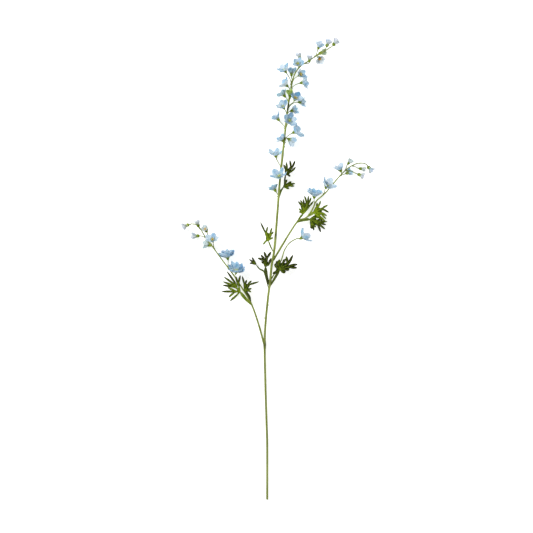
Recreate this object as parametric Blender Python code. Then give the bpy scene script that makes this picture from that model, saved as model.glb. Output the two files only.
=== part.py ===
"""Delphinium flower spike: one cut stem with two side shoots, laid flat on a table.

The stem runs along +Y from its cut end, and +Z is up, away from the table. The bare end of the
stem lies on the table, and the flowering part is held off it by the petals that touch down.
Lists and sizes are in millimetres. X and Y are measured from the centre of the cut end, and the
finished plant is then shifted so that its origin is the bottom centre of its bounding box.
"""

import math
import random
from collections import namedtuple

import bmesh
import bpy
from mathutils import Vector

MM = 0.001
SEED = 27

# Stems. Each route lists the points that its centre line passes through, from root to tip.
STEM_RADIUS = 2.5
STEM_TIP_RADIUS = 0.95
STEM_SIDES = 8
LYING_LENGTH = 230.0  # this much of the bare stem lies on the table
RISEN_LENGTH = 540.0  # from here on it is held up by the blooms
SPIKE_HEIGHT = 24.0
FORKS = (341.0, 480.0)  # how far up the stem its joints are, where it is swollen
FORK_SWELLING = 0.7
FORK_SPAN = 7.0
SHOOT_SIDES = 7
SHOOT_RADIUS = 1.6
SHOOT_TIP_RADIUS = 0.8
FLOWER_STALK_RADIUS = 0.9
STEM_ROUTE = (
    (0, 0), (0, 118), (-1.5, 173), (-4.2, 264), (-5.5, 341), (-3.5, 390), (2.4, 450),
    (6.5, 480), (9.5, 514), (16.3, 556), (22, 626), (28.2, 706), (34.6, 765), (41.1, 826),
    (48, 880), (53, 910), (60, 936), (72, 953), (88, 964), (105, 975), (122, 985), (139, 996),
)
LEFT_ROUTE = (
    (-5.4, 338), (-20.2, 391), (-35.4, 433), (-54.8, 466), (-76, 498), (-98, 527),
    (-119, 556), (-135, 577), (-147, 597), (-156, 606), (-167, 608),
)
RIGHT_ROUTE = (
    (13.4, 528), (34.5, 563), (51.5, 591), (68, 614), (85, 621), (95, 632), (102, 645), (109, 659),
    (129, 677), (156, 709), (176, 729), (196, 740), (213, 741), (221, 736),
)
FLOWER_STALK_ROUTE = ((6.5, 482), (20, 506), (31, 528), (38, 550), (49, 566), (64, 575), (70, 576))
LEFT_HEIGHT = 19.0
RIGHT_HEIGHT = 22.0
FLOWER_STALK_HEIGHT = 19.0
SHOOT_RISE = 0.5  # the share of its length in which a side shoot reaches its height

# Blooms, from the tip of each stem down. Each has the middle of its green cup, the way it faces
# (a heading in degrees clockwise from straight up the stem, then a lift away from the table), its
# width across the petals, and how open it is, from 0 for a shut bud to 1 for a full bloom.
# Its stalk may give how far down the stem it leaves.
Bloom = namedtuple("Bloom", "x y heading lift width opening stalk", defaults=(None,))
MAIN_BLOOMS = (
    Bloom(147, 1003, 38, 15, 14, 0.25), Bloom(132, 1001, 25, 12, 13, 0.2),
    Bloom(113, 995, 22, 24, 18, 0.45), Bloom(117.5, 984, 72, -26, 12, 0.15),
    Bloom(113, 972, 150, 48, 20, 0.6), Bloom(92.6, 967, 4, 12, 10, 0.0),
    Bloom(71.5, 973, -15, -8, 11, 0.1), Bloom(67.8, 957, -10, 58, 23, 0.8),
    Bloom(39.6, 943, -34, 22, 28, 0.8), Bloom(53.5, 937, 3, -20, 19, 0.45),
    Bloom(71, 934, 62, 46, 23, 0.8), Bloom(76.3, 918, 78, 6, 26, 0.75),
    Bloom(42.6, 912, -48, 10, 26, 0.75), Bloom(37.6, 890, -38, -4, 24, 0.7),
    Bloom(50, 889, -8, 26, 13, 0.1), Bloom(60.9, 881, 24, 44, 26, 0.8),
    Bloom(72.2, 876, 90, -12, 20, 0.6), Bloom(36, 863, -30, 34, 27, 0.85),
    Bloom(54.3, 857, 70, -24, 18, 0.5), Bloom(23.8, 838, -38, 4, 24, 0.7),
    Bloom(48.4, 833, 35, 64, 30, 0.95), Bloom(59.2, 809, 66, 14, 33, 0.9),
    Bloom(48, 794, 120, -24, 22, 0.5), Bloom(34.3, 791, -42, 14, 22, 0.7),
    Bloom(19, 758, -12, 24, 30, 0.9), Bloom(27.3, 710, -18, 42, 35, 1.0),
    Bloom(17.2, 682, -32, -4, 22, 0.7),
)
LEFT_BLOOMS = (
    Bloom(-176, 605, -110, 0, 13, 0.15), Bloom(-152, 605, -14, 12, 11, 0.1),
    Bloom(-134, 593, -30, 38, 14, 0.4), Bloom(-153.5, 581.5, -90, -8, 13, 0.15),
    Bloom(-119.5, 571, -12, 46, 26, 0.85), Bloom(-126, 562, -70, -18, 22, 0.55),
    Bloom(-87, 533, -10, 16, 34, 0.95), Bloom(-68.5, 502, 5, 28, 36, 1.0, 3),
)
RIGHT_BLOOMS = (
    Bloom(224, 731, 134, 0, 14, 0.25), Bloom(206, 729, 100, 14, 9, 0.0),
    Bloom(203, 716, 110, -6, 13, 0.2), Bloom(179.5, 742, 40, 14, 13, 0.4),
    Bloom(176.4, 720, 66, -26, 16, 0.5), Bloom(161, 725.5, -24, 14, 22, 0.6),
    Bloom(130, 689, 31, 30, 33, 0.9), Bloom(103.6, 668, 4, 12, 36, 1.0),
)
STALK_BLOOMS = (Bloom(75.5, 577, 56, 8, 34, 0.9),)
RESTING_BLOOMS = ("bloom_left_07", "bloom_right_08", "bloom_main_25", "bloom_main_17")
BLOOM_REACH = 21.0  # how far a bloom stands off its stem
BLOOM_CLEARANCE = 1.0  # between the table and the petals that don't rest on it

# The petals of one bloom. Slopes are in degrees from square to the bloom's axis, bud then full.
PETALS = 5
PETAL_THICKNESS = 0.7
PETAL_ROOT_SLOPE = (72, 56)
PETAL_TIP_SLOPE = (69, 22)
PETAL_CIRCLE = 1.08  # across the circle of the five tips, over the bloom's width
PETAL_LONGEST = 1.15  # length over the bloom's width
PETAL_BROADEST = 0.5  # half-width over length
PETAL_ROOM = 0.70  # half-width over distance from the axis, which keeps clear of the next petal
PETAL_TURN = 2.5  # degrees that a petal may be off its fifth of the circle
PETAL_LENGTH_SPREAD = 0.06  # how much longer or shorter one petal may be
PETAL_TIP_SPREAD = 6.0  # degrees that one petal's tip may be off the slope of the rest
PETAL_CUP = 0.13  # how far the edges stand up, over half-width
PETAL_ROLL = 0.06  # one edge over its neighbour, over half-width
PETAL_ROWS_SMALL = ((0.45, 0.88), (0.82, 0.86))  # share of length, share of the widest half-width
PETAL_ROWS_LARGE = ((0.34, 0.8), (0.66, 1.0), (0.9, 0.74))
LARGE_BLOOM = 25.0
RING_RADIUS = (1.5, 2.3)  # where the petals join, bud then full
RING_HEIGHT = 1.0
EYE_HEIGHT = 3.0

# The green cup behind each bloom, and the stalk that carries it.
CUP_LENGTH = 4.6
CUP_RADIUS = (1.9, 2.9)
CUP_BELLY = (0.4, 0.85)  # share of its length, share of its radius there
CUP_GAP = 0.3
PEDICEL_RADIUS = 0.72
PEDICEL_SIDES = 5
PEDICEL_STEPS = 3
PEDICEL_LEAD = 5.0  # how far down the stem it leaves, and more for a bloom that stands well out
PEDICEL_DROP = 0.8
PEDICEL_ALONG = 1.2  # how strongly it starts along the stem, against straight to the cup
PEDICEL_HANDLES = (0.4, 0.35)  # how long its two bends are, over the way to the cup
PEDICEL_SINK = 2.0  # how deep it starts inside a stem that it ends
PEDICEL_SHARE = 0.8  # the most it may be of its stem's radius

# Leaves. Each has the point of the stem that its stalk leaves, points that the stalk passes, the
# hub of its blade, the hub's height, and the blade's rise to the east and to the north. A division
# is a lobe, given by the point where it splits and the tips of its fingers, clockwise round the hub.
Leaf = namedtuple("Leaf", "shoot root passing hub height rise divisions")
LEAF_THICKNESS = 0.8
LEAF_ARCH = 4.0
LEAF_DROOP = 2.0  # how strongly the tips turn down again, against the arch
LEAF_SWAY = 0.5
LEAF_SWAY_PITCH = (0.19, 0.13)
LEAF_GAP = 0.35
PETIOLE_KNEE = 0.2  # how far straight out its stalk runs, past its own radius
SLOPE_STEP = 0.5  # how far to each side a blade's slope is read
PETIOLE_RADII = (1.35, 0.95)
PETIOLE_SIDES = 5
PETIOLE_STEPS = 3
FINGER_HALF_WIDTH = 1.9
FINGER_PITCH = 1.7  # between two fingers at their roots, over their half-width
FINGER_CUT = 1.2  # how far past the split the cut between two fingers ends
SHOULDER_WIDTH = 0.85
RIB_END = 1.0  # how far before the split the middle rib ends
NECK = 0.45  # where a lobe is narrowest, as a share of the way to its split
NECK_HALF_WIDTH = 3.0
NECK_ROOM = 0.8  # the most a neck may take of the room up to the next lobe
NECK_WIDEST_GAP = 1.6  # radians between two lobes, past which that room grows no more
NOTCH = 0.48  # how far the cut between two lobes stays from the hub, as a share of their length
SINUS = 2.0
SHOULDER = 0.62  # where a finger starts to taper, as a share of its length
LEAVES = {
    "leaf_left_a": Leaf("left", (-36, 434), ((-50, 447),), (-64, 463), 25, (0.14, 0.0), (
        ((-75, 459), ((-82, 438), (-88, 447), (-101, 460), (-89, 469))),
        ((-74, 473), ((-98, 473), (-97, 482), (-95, 491), (-90, 504))),
        ((-66, 480), ((-71, 491), (-59, 495))),
    )),
    "leaf_left_b": Leaf("left", (-38, 438), ((-40, 449),), (-49, 461), 22.5, (-0.12, 0.0), (
        ((-49, 477), ((-55, 493), (-45, 485))),
        ((-40, 475), ((-34, 483), (-17, 481))),
        ((-41, 462), ((-34, 466), (-35, 458))),
    )),
    "leaf_fork_a": Leaf("main", (5, 478), ((-3, 498),), (-4, 519), 25, (0.0, 0.05), (
        ((-8, 521), ((-13, 524),)),
        ((-8, 529), ((-20, 533), (-13, 539))),
        ((0, 535), ((-6, 546), (8, 546))),
        ((2, 525), ((9, 532),)),
    )),
    "leaf_fork_b": Leaf("main", (6, 476), ((17, 489),), (28, 508), 27, (-0.12, 0.04), (
        ((19, 502), ((12, 498),)),
        ((24, 518), ((20, 524), (27, 529))),
        ((34, 521), ((40, 530),)),
        ((43, 522), ((42, 537), (56, 540))),
        ((48, 515), ((66, 519), (66, 511))),
        ((34, 504), ((40, 502),)),
    )),
    "leaf_fork_c": Leaf("main", (4, 466), ((-5, 494), (-14, 508)), (-24, 517), 13, (0.1, 0.0), (
        ((-31, 521), ((-39, 521), (-35, 534))),
    )),
    "leaf_upper": Leaf("main", (14.6, 546), ((8, 557),), (2, 572), 27, (0.1, 0.05), (
        ((-3, 570), ((-9, 562),)),
        ((-3, 590), ((-15, 612), (1, 602))),
        ((8, 586), ((11, 600), (14, 591))),
        ((8, 575), ((13, 578),)),
    )),
    "leaf_right_a": Leaf("right", (69, 615), ((73, 623),), (80, 631), 21, (-0.06, 0.05), (
        ((75, 634.5), ((70, 635), (69, 642))),
        ((78, 649), ((68, 658), (73, 661), (79, 663))),
        ((89, 655), ((82, 670), (91, 670), (97, 667))),
        ((94, 648), ((102, 658),)),
    )),
    "leaf_right_b": Leaf("right", (93, 629), (), (102, 633), 26, (-0.05, 0.08), (
        ((110, 645), ((110, 655), (118, 659))),
        ((122, 641), ((134, 650), (136, 633))),
        ((119, 631), ((132, 625), (130, 618))),
        ((115, 623), ((129, 612), (125, 608))),
    )),
    "leaf_right_c": Leaf("right", (69, 613), ((82, 614),), (95, 615), 16, (-0.05, 0.0), (
        ((114, 607), ((130, 606), (128, 596), (118, 589))),
        ((100, 604), ((107, 600), (103, 593), (97, 597))),
    )),
    "leaf_spike_a": Leaf("main", (27, 682), ((37, 691), (39, 707)), (41, 718), 20, (0.05, 0.05), (
        ((42, 728), ((36, 739), (42, 744))),
        ((53, 732), ((50, 748), (62, 748))),
        ((53, 723), ((63, 733),)),
        ((47, 715), ((51, 712),)),
    )),
    "leaf_spike_b": Leaf("main", (25.5, 670), ((31, 681),), (37, 690), 15, (0.0, 0.1), (
        ((40, 698), ((44, 706),)),
        ((49, 695), ((54, 701), (62, 697), (60, 691))),
        ((43, 687), ((49, 686),)),
    )),
}

STEM_COLOUR = (0.235, 0.330, 0.075)
LEAF_COLOUR = (0.075, 0.140, 0.018)
PETAL_COLOUR = (0.330, 0.520, 0.850)
BUD_COLOUR = (0.620, 0.680, 0.830)
STEM_ROUGHNESS = 0.55
LEAF_ROUGHNESS = 0.6
PETAL_ROUGHNESS = 0.75
BUD_OPENING = 0.3


def smoothstep(share):
    share = min(1.0, max(0.0, share))
    return share * share * (3 - 2 * share)


def mix(a, b, share):
    return a + (b - a) * share


def flat(point):
    return Vector((*point, 0))


def facing(heading, lift):
    """The direction of a compass heading, clockwise from +Y, lifted away from the table."""
    heading, lift = math.radians(heading), math.radians(lift)
    level = math.cos(lift)
    return Vector((math.sin(heading) * level, math.cos(heading) * level, math.sin(lift)))


def to_the_right(along):
    """Square to a level direction, on its right as seen from above."""
    return Vector((along.y, -along.x, 0))


def spline(points, per_span):
    """A smooth curve through the points, as a list of points, per_span to each span."""
    ends = [points[0] * 2 - points[1], *points, points[-1] * 2 - points[-2]]
    curve = []
    for before, start, end, after in zip(ends, ends[1:], ends[2:], ends[3:]):
        for step in range(per_span):
            t = step / per_span
            curve.append(
                0.5 * (2 * start + (end - before) * t
                       + (2 * before - 5 * start + 4 * end - after) * t * t
                       + (3 * start - before - 3 * end + after) * t ** 3)
            )
    return [*curve, points[-1].copy()]


def bezier(start, leave, arrive, end, steps):
    """A curve from start to end that starts towards leave and comes in from arrive."""
    curve = []
    for step in range(steps + 1):
        t = step / steps
        s = 1 - t
        curve.append(start * s ** 3 + leave * 3 * t * s * s + arrive * 3 * t * t * s + end * t ** 3)
    return curve


class Shoot:
    """A stem's centre line with its height over the table and its thickness."""

    FINE_STEPS = 12
    RING_STEPS = 6

    def __init__(self, route, height_at, radius_at):
        self.line = spline([flat(point) for point in route], self.FINE_STEPS)
        self.length = [0.0]
        for a, b in zip(self.line, self.line[1:]):
            self.length.append(self.length[-1] + (b - a).length)
        self.radii = []
        for point, reached in zip(self.line, self.length):
            share = reached / self.length[-1]
            self.radii.append(radius_at(share, point.y))
            point.z = height_at(share, point.y)

    def nearest(self, point):
        """The index of the centre line's point nearest to this one, seen from above."""
        return min(range(len(self.line)), key=lambda i: (self.line[i].xy - point.xy).length)

    def back_from(self, index, distance):
        """The index of the point this far down the stem, towards its root."""
        wanted = max(self.length[index] - distance, 0.0)
        return min(range(len(self.line)), key=lambda i: abs(self.length[i] - wanted))

    def direction(self, index):
        before, after = max(index - 1, 0), min(index + 1, len(self.line) - 1)
        return (self.line[after] - self.line[before]).normalized()

    def rings(self):
        return self.line[::self.RING_STEPS], self.radii[::self.RING_STEPS]


def new_object(name, mesh):
    made = bpy.data.objects.new(name, mesh)
    bpy.context.scene.collection.objects.link(made)
    return made


def mesh_from(name, points, faces):
    """A mesh with its faces turned outwards, from points in millimetres."""
    mesh = bpy.data.meshes.new(name)
    mesh.from_pydata([point * MM for point in points], [], faces)
    shape = bmesh.new()
    shape.from_mesh(mesh)
    bmesh.ops.recalc_face_normals(shape, faces=shape.faces)
    shape.to_mesh(mesh)
    shape.free()
    return mesh


def tube(name, line, radii, sides):
    """A closed round bar along the line. Where it starts level, one of its flats faces down."""
    up = Vector((0, 0, 1))
    points = []
    for i, (centre, radius) in enumerate(zip(line, radii)):
        tangent = (line[min(i + 1, len(line) - 1)] - line[max(i - 1, 0)]).normalized()
        up = (up - tangent * up.dot(tangent)).normalized()
        side = tangent.cross(up)
        for corner in range(sides):
            angle = 2 * math.pi * (corner + 0.5) / sides
            points.append(centre + radius * (up * math.cos(angle) + side * math.sin(angle)))
    faces = [tuple(range(sides)), tuple(range(len(points) - sides, len(points)))]
    for ring in range(len(line) - 1):
        for corner in range(sides):
            here, after = ring * sides + corner, ring * sides + (corner + 1) % sides
            faces.append((here, after, after + sides, here + sides))
    return mesh_from(name, points, faces)


def plate(name, tops, bottoms, triangles, rim):
    """A blade between two like sets of points, both split into the same triangles."""
    count = len(tops)
    faces = list(triangles) + [tuple(count + corner for corner in t) for t in triangles]
    for here, after in zip(rim, [*rim[1:], rim[0]]):
        faces.append((here, after, after + count, here + count))
    return mesh_from(name, [*tops, *bottoms], faces)


def united(name, first, others):
    """One body made of the first mesh and all the others, which overlap it."""
    body = new_object(name, first)
    parts = bpy.data.collections.new(name + "_parts")
    bpy.context.scene.collection.children.link(parts)
    for mesh in others:
        parts.objects.link(bpy.data.objects.new(mesh.name, mesh))
    union = body.modifiers.new("union", "BOOLEAN")
    union.operation = "UNION"
    union.operand_type = "COLLECTION"
    union.collection = parts
    graph = bpy.context.evaluated_depsgraph_get()
    body.data = bpy.data.meshes.new_from_object(body.evaluated_get(graph))
    body.modifiers.clear()
    for part in list(parts.objects):
        bpy.data.objects.remove(part)
    bpy.data.collections.remove(parts)
    return body


def petal_rows(axis, turn, width, opening, draw):
    """One petal as rows of (point, normal) from the bloom's base: left edge, middle, right edge."""
    side_on = axis.orthogonal().normalized()
    turn += math.radians(draw.uniform(-PETAL_TURN, PETAL_TURN))
    outward = math.cos(turn) * side_on + math.sin(turn) * axis.cross(side_on)
    across = axis.cross(outward)
    root = math.radians(mix(*PETAL_ROOT_SLOPE, opening))
    off = draw.uniform(-PETAL_TIP_SPREAD, PETAL_TIP_SPREAD)
    tip = math.radians(mix(*PETAL_TIP_SLOPE, opening) + off)
    ring = mix(*RING_RADIUS, opening)
    bend = tip - root
    reach = (math.sin(tip) - math.sin(root)) / bend
    length = min((width * PETAL_CIRCLE / 2 - ring) / reach, PETAL_LONGEST * width)
    length *= 1 + PETAL_LENGTH_SPREAD * draw.uniform(-1, 1)
    rows = []
    for share, width_share in PETAL_ROWS_LARGE if width >= LARGE_BLOOM else PETAL_ROWS_SMALL:
        slope = root + bend * share
        out = ring + length * (math.sin(slope) - math.sin(root)) / bend
        high = RING_HEIGHT - length * (math.cos(slope) - math.cos(root)) / bend
        normal = axis * math.cos(slope) - outward * math.sin(slope)
        inward = PETAL_ROOM * (PETAL_CUP + PETAL_ROLL) * math.sin(slope)
        room = PETAL_ROOM * (out - PETAL_THICKNESS) / (1 + inward)
        half = min(PETAL_BROADEST * length * width_share, room)
        row = []
        for v in (-1, 0, 1):
            rise = half * (PETAL_CUP * v * v + PETAL_ROLL * v)
            row.append((axis * high + outward * out + across * half * v + normal * rise, normal))
        rows.append(row)
    out = ring + length * reach
    high = RING_HEIGHT - length * (math.cos(tip) - math.cos(root)) / bend
    rows.append([(axis * high + outward * out, axis * math.cos(tip) - outward * math.sin(tip))])
    return rows


def ring_point(axis, turn, radius, opening):
    """A point of the ring where the petals join, with its normal."""
    side_on = axis.orthogonal().normalized()
    outward = math.cos(turn) * side_on + math.sin(turn) * axis.cross(side_on)
    slope = math.radians(mix(*PETAL_ROOT_SLOPE, opening))
    normal = axis * math.cos(slope) - outward * math.sin(slope)
    return axis * RING_HEIGHT + outward * radius, normal


def corolla(name, base, axis, width, opening):
    """The petals of one bloom as a single shell, joined in a ring round the raised eye."""
    draw = random.Random(f"{SEED} {name}")
    first_turn = draw.uniform(0, 2 * math.pi)
    step = 2 * math.pi / PETALS
    ring = mix(*RING_RADIUS, opening)
    placed = [(Vector(), axis)]
    for corner in range(2 * PETALS):
        radius = ring if corner % 2 == 0 else ring / math.cos(step / 2)
        placed.append(ring_point(axis, first_turn + corner * step / 2, radius, opening))
    triangles, rim = [], []
    for number in range(PETALS):
        middle = 1 + 2 * number
        left, right = 1 + (2 * number - 1) % (2 * PETALS), middle + 1
        triangles += [(0, left, middle), (0, middle, right)]
        near = [left, middle, right]
        edges = [[], []]
        for row in petal_rows(axis, first_turn + number * step, width, opening, draw):
            far = list(range(len(placed), len(placed) + len(row)))
            placed += row
            if len(far) == 1:
                triangles += [(near[0], near[1], far[0]), (near[1], near[2], far[0])]
            else:
                for a, b, c, d in zip(near, near[1:], far, far[1:]):
                    triangles += [(a, b, d), (a, d, c)]
            edges[0].append(far[0])
            edges[1].append(far[-1])
            near = far
        rim += [left, *edges[0], *edges[1][-2::-1]]
    half = PETAL_THICKNESS / 2
    tops = [base + point + normal * half for point, normal in placed]
    bottoms = [base + point - normal * half for point, normal in placed]
    tops[0] = base + axis * EYE_HEIGHT
    bottoms[0] = base
    return plate(name, tops, bottoms, triangles, rim)


def bloom(name, placed, shoot):
    """The petals of one bloom. Returns the object, the bloom's base and the way it faces."""
    axis = facing(placed.heading, placed.lift)
    level = shoot.line[shoot.nearest(flat(placed[:2]))].z
    base = Vector((placed.x, placed.y, level + BLOOM_REACH * math.sin(math.radians(placed.lift))))
    made = new_object(name, corolla(name, base, axis, placed.width, placed.opening))
    lowest = min(vertex.co.z for vertex in made.data.vertices) / MM
    allowed = 0.0 if name in RESTING_BLOOMS else BLOOM_CLEARANCE
    if lowest < allowed or name in RESTING_BLOOMS:
        base = base + Vector((0, 0, allowed - lowest))
        for vertex in made.data.vertices:
            vertex.co.z += (allowed - lowest) * MM
    return made, base, axis


def stalk_and_cup(name, base, axis, placed, shoot):
    """The stalk that leaves the stem below a bloom, and the green cup that it ends in."""
    cup_radius = mix(*CUP_RADIUS, placed.opening)
    rim = base - axis * CUP_GAP
    foot = rim - axis * CUP_LENGTH
    index = shoot.nearest(foot)
    last = len(shoot.line) - 1
    if index < last:
        drop = PEDICEL_LEAD + PEDICEL_DROP * (shoot.line[index] - foot).length
        index = shoot.back_from(index, drop if placed.stalk is None else placed.stalk)
    root, along = shoot.line[index], shoot.direction(index)
    if index == last:
        root = root - along * PEDICEL_SINK
    reach = (foot - root).length
    first_bend, last_bend = PEDICEL_HANDLES
    start = (along * PEDICEL_ALONG + (foot - root).normalized()).normalized()
    leave = root + start * reach * first_bend
    line = bezier(root, leave, foot - axis * reach * last_bend, foot, PEDICEL_STEPS)
    belly_at, belly_radius = CUP_BELLY
    line += [foot + axis * CUP_LENGTH * belly_at, rim]
    thin = min(PEDICEL_RADIUS, shoot.radii[index] * PEDICEL_SHARE)
    radii = [thin] * (PEDICEL_STEPS + 1) + [cup_radius * belly_radius, cup_radius]
    return tube(name + "_stalk", line, radii, PEDICEL_SIDES)


def division_shape(points, hub, split, tips, half_neck):
    """Adds one lobe of a leaf to the points. Returns its triangles and its edge, left to right."""
    along = (split - hub).normalized()
    side = to_the_right(along)
    neck = hub + (split - hub) * NECK
    first = len(points)
    points += [neck - side * half_neck, neck + side * half_neck, split - along * RIB_END]
    neck_left, neck_right, rib = first, first + 1, first + 2
    step = FINGER_PITCH * FINGER_HALF_WIDTH
    half_shoulder = FINGER_HALF_WIDTH * SHOULDER_WIDTH
    corners = []
    for number in range(len(tips) + 1):
        past = FINGER_CUT if 0 < number < len(tips) else 0.0
        points.append(split + side * step * (number - len(tips) / 2) + along * past)
        corners.append(len(points) - 1)
    triangles = [(0, neck_left, neck_right), (neck_left, corners[0], rib)]
    triangles += [(neck_left, rib, neck_right), (neck_right, rib, corners[-1])]
    edge = [neck_left, corners[0]]
    for left, right, tip in zip(corners, corners[1:], tips):
        start = (points[left] + points[right]) / 2
        finger_side = to_the_right((tip - start).normalized())
        shoulder = start + (tip - start) * SHOULDER
        points += [shoulder - finger_side * half_shoulder, tip, shoulder + finger_side * half_shoulder]
        a, b, c = len(points) - 3, len(points) - 2, len(points) - 1
        triangles += [(rib, left, right), (left, a, right), (a, c, right), (a, b, c)]
        edge += [a, b, c, right]
    return triangles, [*edge, neck_right]


def leaf_shape(hub, divisions):
    """A palmate leaf seen from above: its points, its triangles and the loop round its edge."""
    aims = [(split - hub).normalized() for split, _ in divisions]
    headings = [math.degrees(math.atan2(aim.x, aim.y)) for aim in aims]
    last = headings[-1] if headings[-1] >= headings[0] else headings[-1] + 360
    points = [hub, hub + facing((headings[0] + last) / 2 + 180, 0) * SINUS]
    triangles, rim = [], [1]
    before = 1
    for number, (split, tips) in enumerate(divisions):
        aim = aims[number]
        gaps = [aim.angle(other) for other in aims[max(number - 1, 0):number + 2] if other is not aim]
        half_gap = min([*gaps, NECK_WIDEST_GAP]) / 2
        room = NECK_ROOM * NECK * (split - hub).length * math.tan(half_gap)
        more, edge = division_shape(points, hub, split, tips, min(NECK_HALF_WIDTH, room))
        after = 1
        if number < len(divisions) - 1:
            next_split = divisions[number + 1][0]
            nearest = min((split - hub).length, (next_split - hub).length)
            points.append(hub + (aim + aims[number + 1]).normalized() * nearest * NOTCH)
            after = len(points) - 1
        triangles += [*more, (0, before, edge[0]), (0, edge[-1], after)]
        rim += [*edge, after]
        before = after
    return points, triangles, rim[:-1]


def leaf(name, shoots):
    """One palmate leaf on its stalk."""
    placed = LEAVES[name]
    shoot = shoots[placed.shoot]
    divisions = [(flat(split), [flat(tip) for tip in tips]) for split, tips in placed.divisions]
    hub = flat(placed.hub)
    points, triangles, rim = leaf_shape(hub, divisions)
    longest = max((point - hub).length for point in points)

    def height_at(point):
        away = point - hub
        reach = away.length / longest
        sway = LEAF_SWAY * math.sin(point.x * LEAF_SWAY_PITCH[0] + point.y * LEAF_SWAY_PITCH[1])
        arch = LEAF_ARCH * (reach - LEAF_DROOP * reach * reach)
        return placed.height + away.x * placed.rise[0] + away.y * placed.rise[1] + arch + sway

    east, north = Vector((SLOPE_STEP, 0, 0)), Vector((0, SLOPE_STEP, 0))
    tops, bottoms = [], []
    for point in points:
        normal = Vector((
            height_at(point - east) - height_at(point + east),
            height_at(point - north) - height_at(point + north),
            2 * SLOPE_STEP,
        )).normalized()
        middle = Vector((point.x, point.y, height_at(point)))
        tops.append(middle + normal * LEAF_THICKNESS / 2)
        bottoms.append(middle - normal * LEAF_THICKNESS / 2)
    blade = plate(name, tops, bottoms, triangles, rim)

    index = shoot.nearest(flat(placed.root))
    root, along = shoot.line[index], shoot.direction(index)
    end = (tops[0] + bottoms[0]) / 2
    first = Vector((*placed.passing[0], mix(root.z, end.z, 0.5))) if placed.passing else end
    out = ((first - root) - along * (first - root).dot(along)).normalized()
    start = root + out * (shoot.radii[index] + LEAF_GAP)
    knee = start + out * (PETIOLE_RADII[0] + PETIOLE_KNEE)
    count = len(placed.passing) + 1
    passing = [
        Vector((*point, mix(knee.z, end.z, number / count)))
        for number, point in enumerate(placed.passing, 1)
    ]
    line = [start, *spline([knee, *passing, end], PETIOLE_STEPS)]
    radii = [mix(*PETIOLE_RADII, i / (len(line) - 1)) for i in range(len(line))]
    return united(name, blade, [tube(name + "_stalk", line, radii, PETIOLE_SIDES)])


def material(name, colour, roughness):
    made = bpy.data.materials.new(name)
    made.use_nodes = True
    shader = made.node_tree.nodes["Principled BSDF"]
    shader.inputs["Base Color"].default_value = (*colour, 1)
    shader.inputs["Roughness"].default_value = roughness
    shader.inputs["Metallic"].default_value = 0.0
    return made


def paint(obj, finish):
    obj.data.materials.clear()
    obj.data.materials.append(finish)


def make_shoots():
    """The main stem, its two side shoots and the long stalk of the flower between them."""
    lying_height = STEM_RADIUS * math.cos(math.pi / STEM_SIDES)

    def stem_height(_, y):
        risen = smoothstep((y - LYING_LENGTH) / (RISEN_LENGTH - LYING_LENGTH))
        return mix(lying_height, SPIKE_HEIGHT, risen)

    def stem_radius(_, y):
        share = (y - LYING_LENGTH) / (STEM_ROUTE[-1][1] - LYING_LENGTH)
        swelling = sum(math.exp(-(((y - fork) / FORK_SPAN) ** 2)) for fork in FORKS)
        return mix(STEM_RADIUS, STEM_TIP_RADIUS, max(0.0, share)) + FORK_SWELLING * swelling

    def rising(start_y, level):
        start = stem_height(0, start_y)
        return lambda share, _: mix(start, level, smoothstep(share / SHOOT_RISE))

    def tapering(root, tip):
        return lambda share, _: mix(root, tip, share)

    shoot_taper = tapering(SHOOT_RADIUS, SHOOT_TIP_RADIUS)
    stalk_taper = tapering(FLOWER_STALK_RADIUS, PEDICEL_RADIUS)
    left_rise = rising(LEFT_ROUTE[0][1], LEFT_HEIGHT)
    right_rise = rising(RIGHT_ROUTE[0][1], RIGHT_HEIGHT)
    stalk_rise = rising(FLOWER_STALK_ROUTE[0][1], FLOWER_STALK_HEIGHT)
    return {
        "main": Shoot(STEM_ROUTE, stem_height, stem_radius),
        "left": Shoot(LEFT_ROUTE, left_rise, shoot_taper),
        "right": Shoot(RIGHT_ROUTE, right_rise, shoot_taper),
        "stalk": Shoot(FLOWER_STALK_ROUTE, stalk_rise, stalk_taper),
    }


def centre_on_origin(objects):
    """Moves every object so that the bottom centre of the whole plant's box is the origin."""
    corners = [vertex.co for obj in objects for vertex in obj.data.vertices]
    low = Vector([min(corner[axis] for corner in corners) for axis in range(3)])
    high = Vector([max(corner[axis] for corner in corners) for axis in range(3)])
    middle = Vector(((low.x + high.x) / 2, (low.y + high.y) / 2, low.z))
    for obj in objects:
        for vertex in obj.data.vertices:
            vertex.co -= middle


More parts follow.
